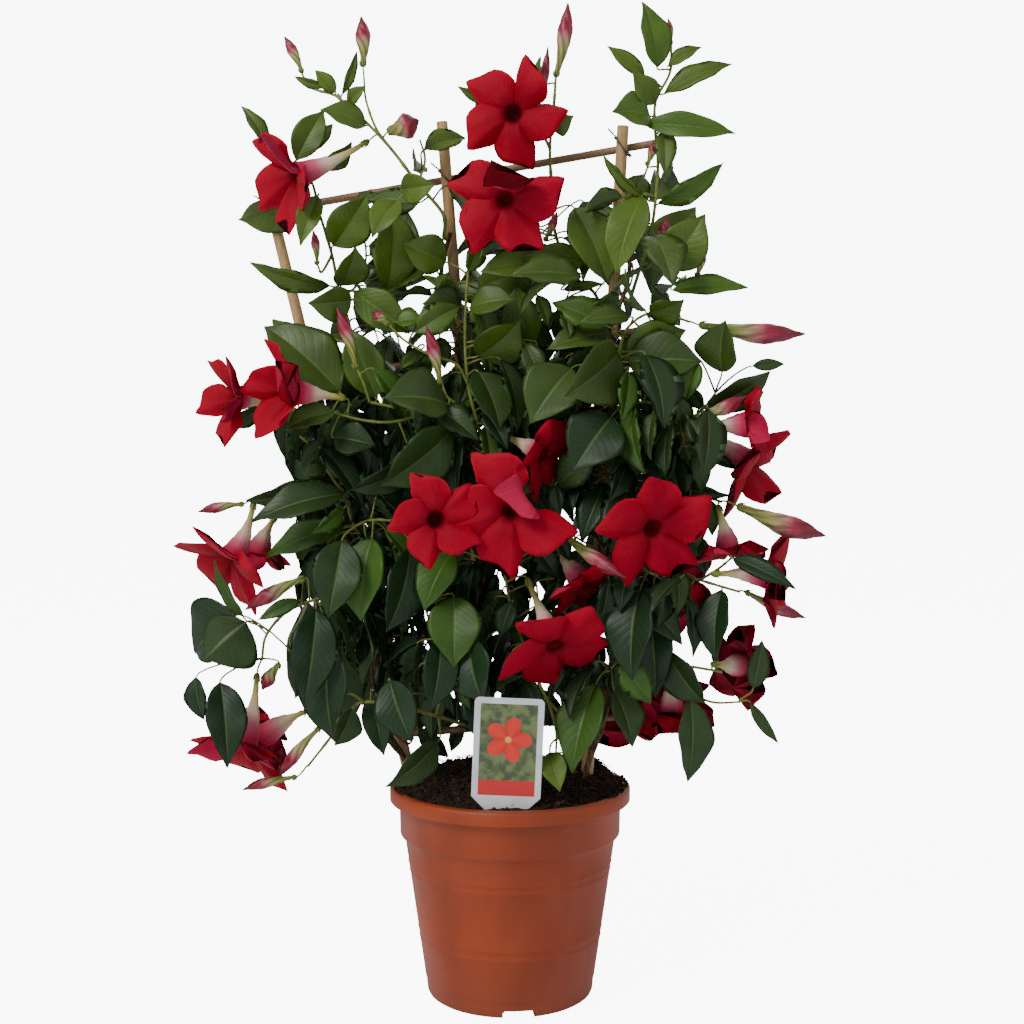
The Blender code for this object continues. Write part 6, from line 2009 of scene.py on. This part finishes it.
def topOfSoil(x, y):
    return soilHeight(x, y) + soilBumps(x, y) + 0.3 * mm


def rimPatch():
    # two stretches of the rim where soil has spilled, right and left of the front
    bm = bmesh.new()
    for start, end in ((-34.0, 14.0), (172.0, 208.0)):
        before = None
        for step in range(15):
            angle = math.radians(start + (end - start) * step / 14)
            pair = [
                bm.verts.new((radius * math.cos(angle), radius * math.sin(angle), potSet["height"] + 0.7 * mm))
                for radius in (potSet["bandRadius"] - 2 * mm, potSet["lipRadius"] - 2 * mm)
            ]
            if before:
                bm.faces.new((before[0], before[1], pair[1], pair[0]))
            before = pair
    mesh = bpy.data.meshes.new("rimPatch")
    bm.to_mesh(mesh)
    bm.free()
    return mesh


edge = potSet["bandRadius"] - 2.8 * mm
area = math.pi * edge * edge
crumbs = scatterOn(
    "peatCrumbs", soilPatch(3 * mm, edge, topOfSoil), crumbShape(), finishes["crumb"],
    {"Density": soilSet["crumbs"] / area, "Least": 0.4, "Most": 1.9, "Seed": soilSet["seed"]},
)
addPiece("peatCrumbs", crumbs, finishes["crumb"], "peat")
clods = scatterOn(
    "peatClods", soilPatch(3 * mm, edge - 3 * mm, topOfSoil), crumbShape(), finishes["crumb"],
    {"Density": soilSet["clods"] / area, "Least": 1.8, "Most": 4.2, "Seed": soilSet["seed"] + 3},
)
addPiece("peatClods", clods, finishes["crumb"], "peat")
fibres = scatterOn(
    "peatFibres", soilPatch(3 * mm, edge - 2 * mm, topOfSoil), fibreShape(), finishes["crumb"],
    {"Density": soilSet["fibres"] / area, "Least": 0.6, "Most": 1.6, "Tilt": 1.2, "Seed": soilSet["seed"] + 1},
)
addPiece("peatFibres", fibres, finishes["crumb"], "peat")
spilled = scatterOn(
    "peatOnRim", rimPatch(), crumbShape(), finishes["crumb"],
    {"Density": 260000.0, "Least": 0.35, "Most": 1.5, "Seed": soilSet["seed"] + 2},
)
addPiece("peatOnRim", spilled, finishes["crumb"], "peat")
print("soil made:", len(crumbs.polygons) + len(fibres.polygons) + len(spilled.polygons), "loose faces")


# Plant label
labelSet = {
    "width": 53.0 * mm,
    "height": 88.0 * mm,
    "thick": 0.9 * mm,
    "corner": 4.0 * mm,
    "chamfer": 10.0 * mm,
    "stakeWidth": 30.0 * mm,
    "stakeLength": 36.0 * mm,
    "foot": (505, 814, 83.5),
    "head": (510, 698, 92),
}


def makeLabel():
    head = seen(*labelSet["head"])
    down = (seen(*labelSet["foot"]) - head).normalized()
    out = down.cross(Vector((1, 0, 0))).normalized()
    across = out.cross(down).normalized()
    half = labelSet["width"] / 2
    corner = labelSet["corner"]
    height = labelSet["height"]
    outline = []
    for step in range(9):
        angle = math.radians(90.0 - 90.0 * step / 8)
        outline.append((half - corner + corner * math.cos(angle), corner - corner * math.sin(angle)))
    outline += [
        (half, height - labelSet["chamfer"]),
        (half - labelSet["chamfer"], height),
        (labelSet["stakeWidth"] / 2 - 1 * mm, height + 2 * mm),
        (labelSet["stakeWidth"] / 3, height + labelSet["stakeLength"] * 0.7),
        (1.5 * mm, height + labelSet["stakeLength"]),
    ]
    outline = outline + [(-x, y) for x, y in reversed(outline)]
    heap = newHeap()
    rings = []
    marks = []
    traits = []
    bevel = 0.22 * mm
    for inset, depth, printed in ((bevel, -1.0, 0.0), (0.0, -0.6, 0.0), (0.0, 0.6, 0.0), (bevel, 1.0, 1.0)):
        ring = []
        mark = []
        for x, y in outline:
            x -= math.copysign(inset, x)
            y = y + inset if y < height / 2 else y - inset
            ring.append(head + across * x + down * y + out * (labelSet["thick"] / 2 * depth))
            mark.append((0.5 + x / labelSet["width"], 1.0 - y / height))
        rings.append(ring)
        marks.append(mark)
        traits.append([(printed, 0.0, 0.5)] * len(ring))
    addLoft(heap, rings, marks, traits)
    mesh = meshOfHeap("plantLabel", heap)
    for polygon in mesh.polygons:
        polygon.use_smooth = False
    return mesh


addPiece("plantLabel", makeLabel(), finishes["card"], "label_plastic", "label")
print("label made")


# Floor, light and sky
lightSet = {
    "floor": (0.90, 0.905, 0.91),
    "sky": (0.93, 0.96, 1.0),
    "skyStrength": 0.55,
    "skyShown": 9.0,  # what the camera sees behind the floor
    "floorGlow": 9.6,
    "lamps": [
        # name, place, size, watts, colour
        ("keyLamp", (-1.3, -1.5, 2.0), 1.2, 42.0, (1.0, 0.98, 0.95)),
        ("fillLamp", (1.7, -1.2, 1.2), 1.8, 3.6, (0.93, 0.96, 1.0)),
        ("backLamp", (0.4, 1.8, 2.0), 1.6, 14.0, (0.95, 0.97, 1.0)),
    ],
}


def addLamp(name, place, size, watts, colour):
    lamp = bpy.data.lights.new(name, "AREA")
    lamp.shape = "DISK"
    lamp.size = size
    lamp.energy = watts
    lamp.color = colour
    holder = newObject(name, lamp)
    holder.location = place
    holder.rotation_euler = (Vector((0, 0, 0.42)) - Vector(place)).to_track_quat("-Z", "Y").to_euler()


for lamp in lightSet["lamps"]:
    addLamp(*lamp)
world = bpy.data.worlds.new("softSky")
world.use_nodes = True
world.node_tree.nodes["Background"].inputs[0].default_value = (*lightSet["sky"], 1.0)
seenBy = putNode(world.node_tree, "ShaderNodeLightPath").outputs["Is Camera Ray"]
shown = calc(world.node_tree, "MULTIPLY", seenBy, lightSet["skyShown"] - lightSet["skyStrength"])
shown = calc(world.node_tree, "ADD", shown, lightSet["skyStrength"])
world.node_tree.links.new(shown, world.node_tree.nodes["Background"].inputs[1])
bpy.context.scene.world = world

bm = bmesh.new()
bmesh.ops.create_grid(bm, x_segments=1, y_segments=1, size=6.0)
floorMesh = bpy.data.meshes.new("floor")
bm.to_mesh(floorMesh)
bm.free()
floor = newObject("floor", floorMesh)
floorFinish, tree, shader = newFinish("paleFloor", 0.9, 0.2)
shader.inputs["Base Color"].default_value = (*lightSet["floor"], 1.0)
seenBy = putNode(tree, "ShaderNodeLightPath").outputs["Is Camera Ray"]
shader.inputs["Emission Color"].default_value = (*lightSet["floor"], 1.0)
tree.links.new(times(tree, seenBy, lightSet["floorGlow"]), shader.inputs["Emission Strength"])
floorMesh.materials.append(floorFinish)
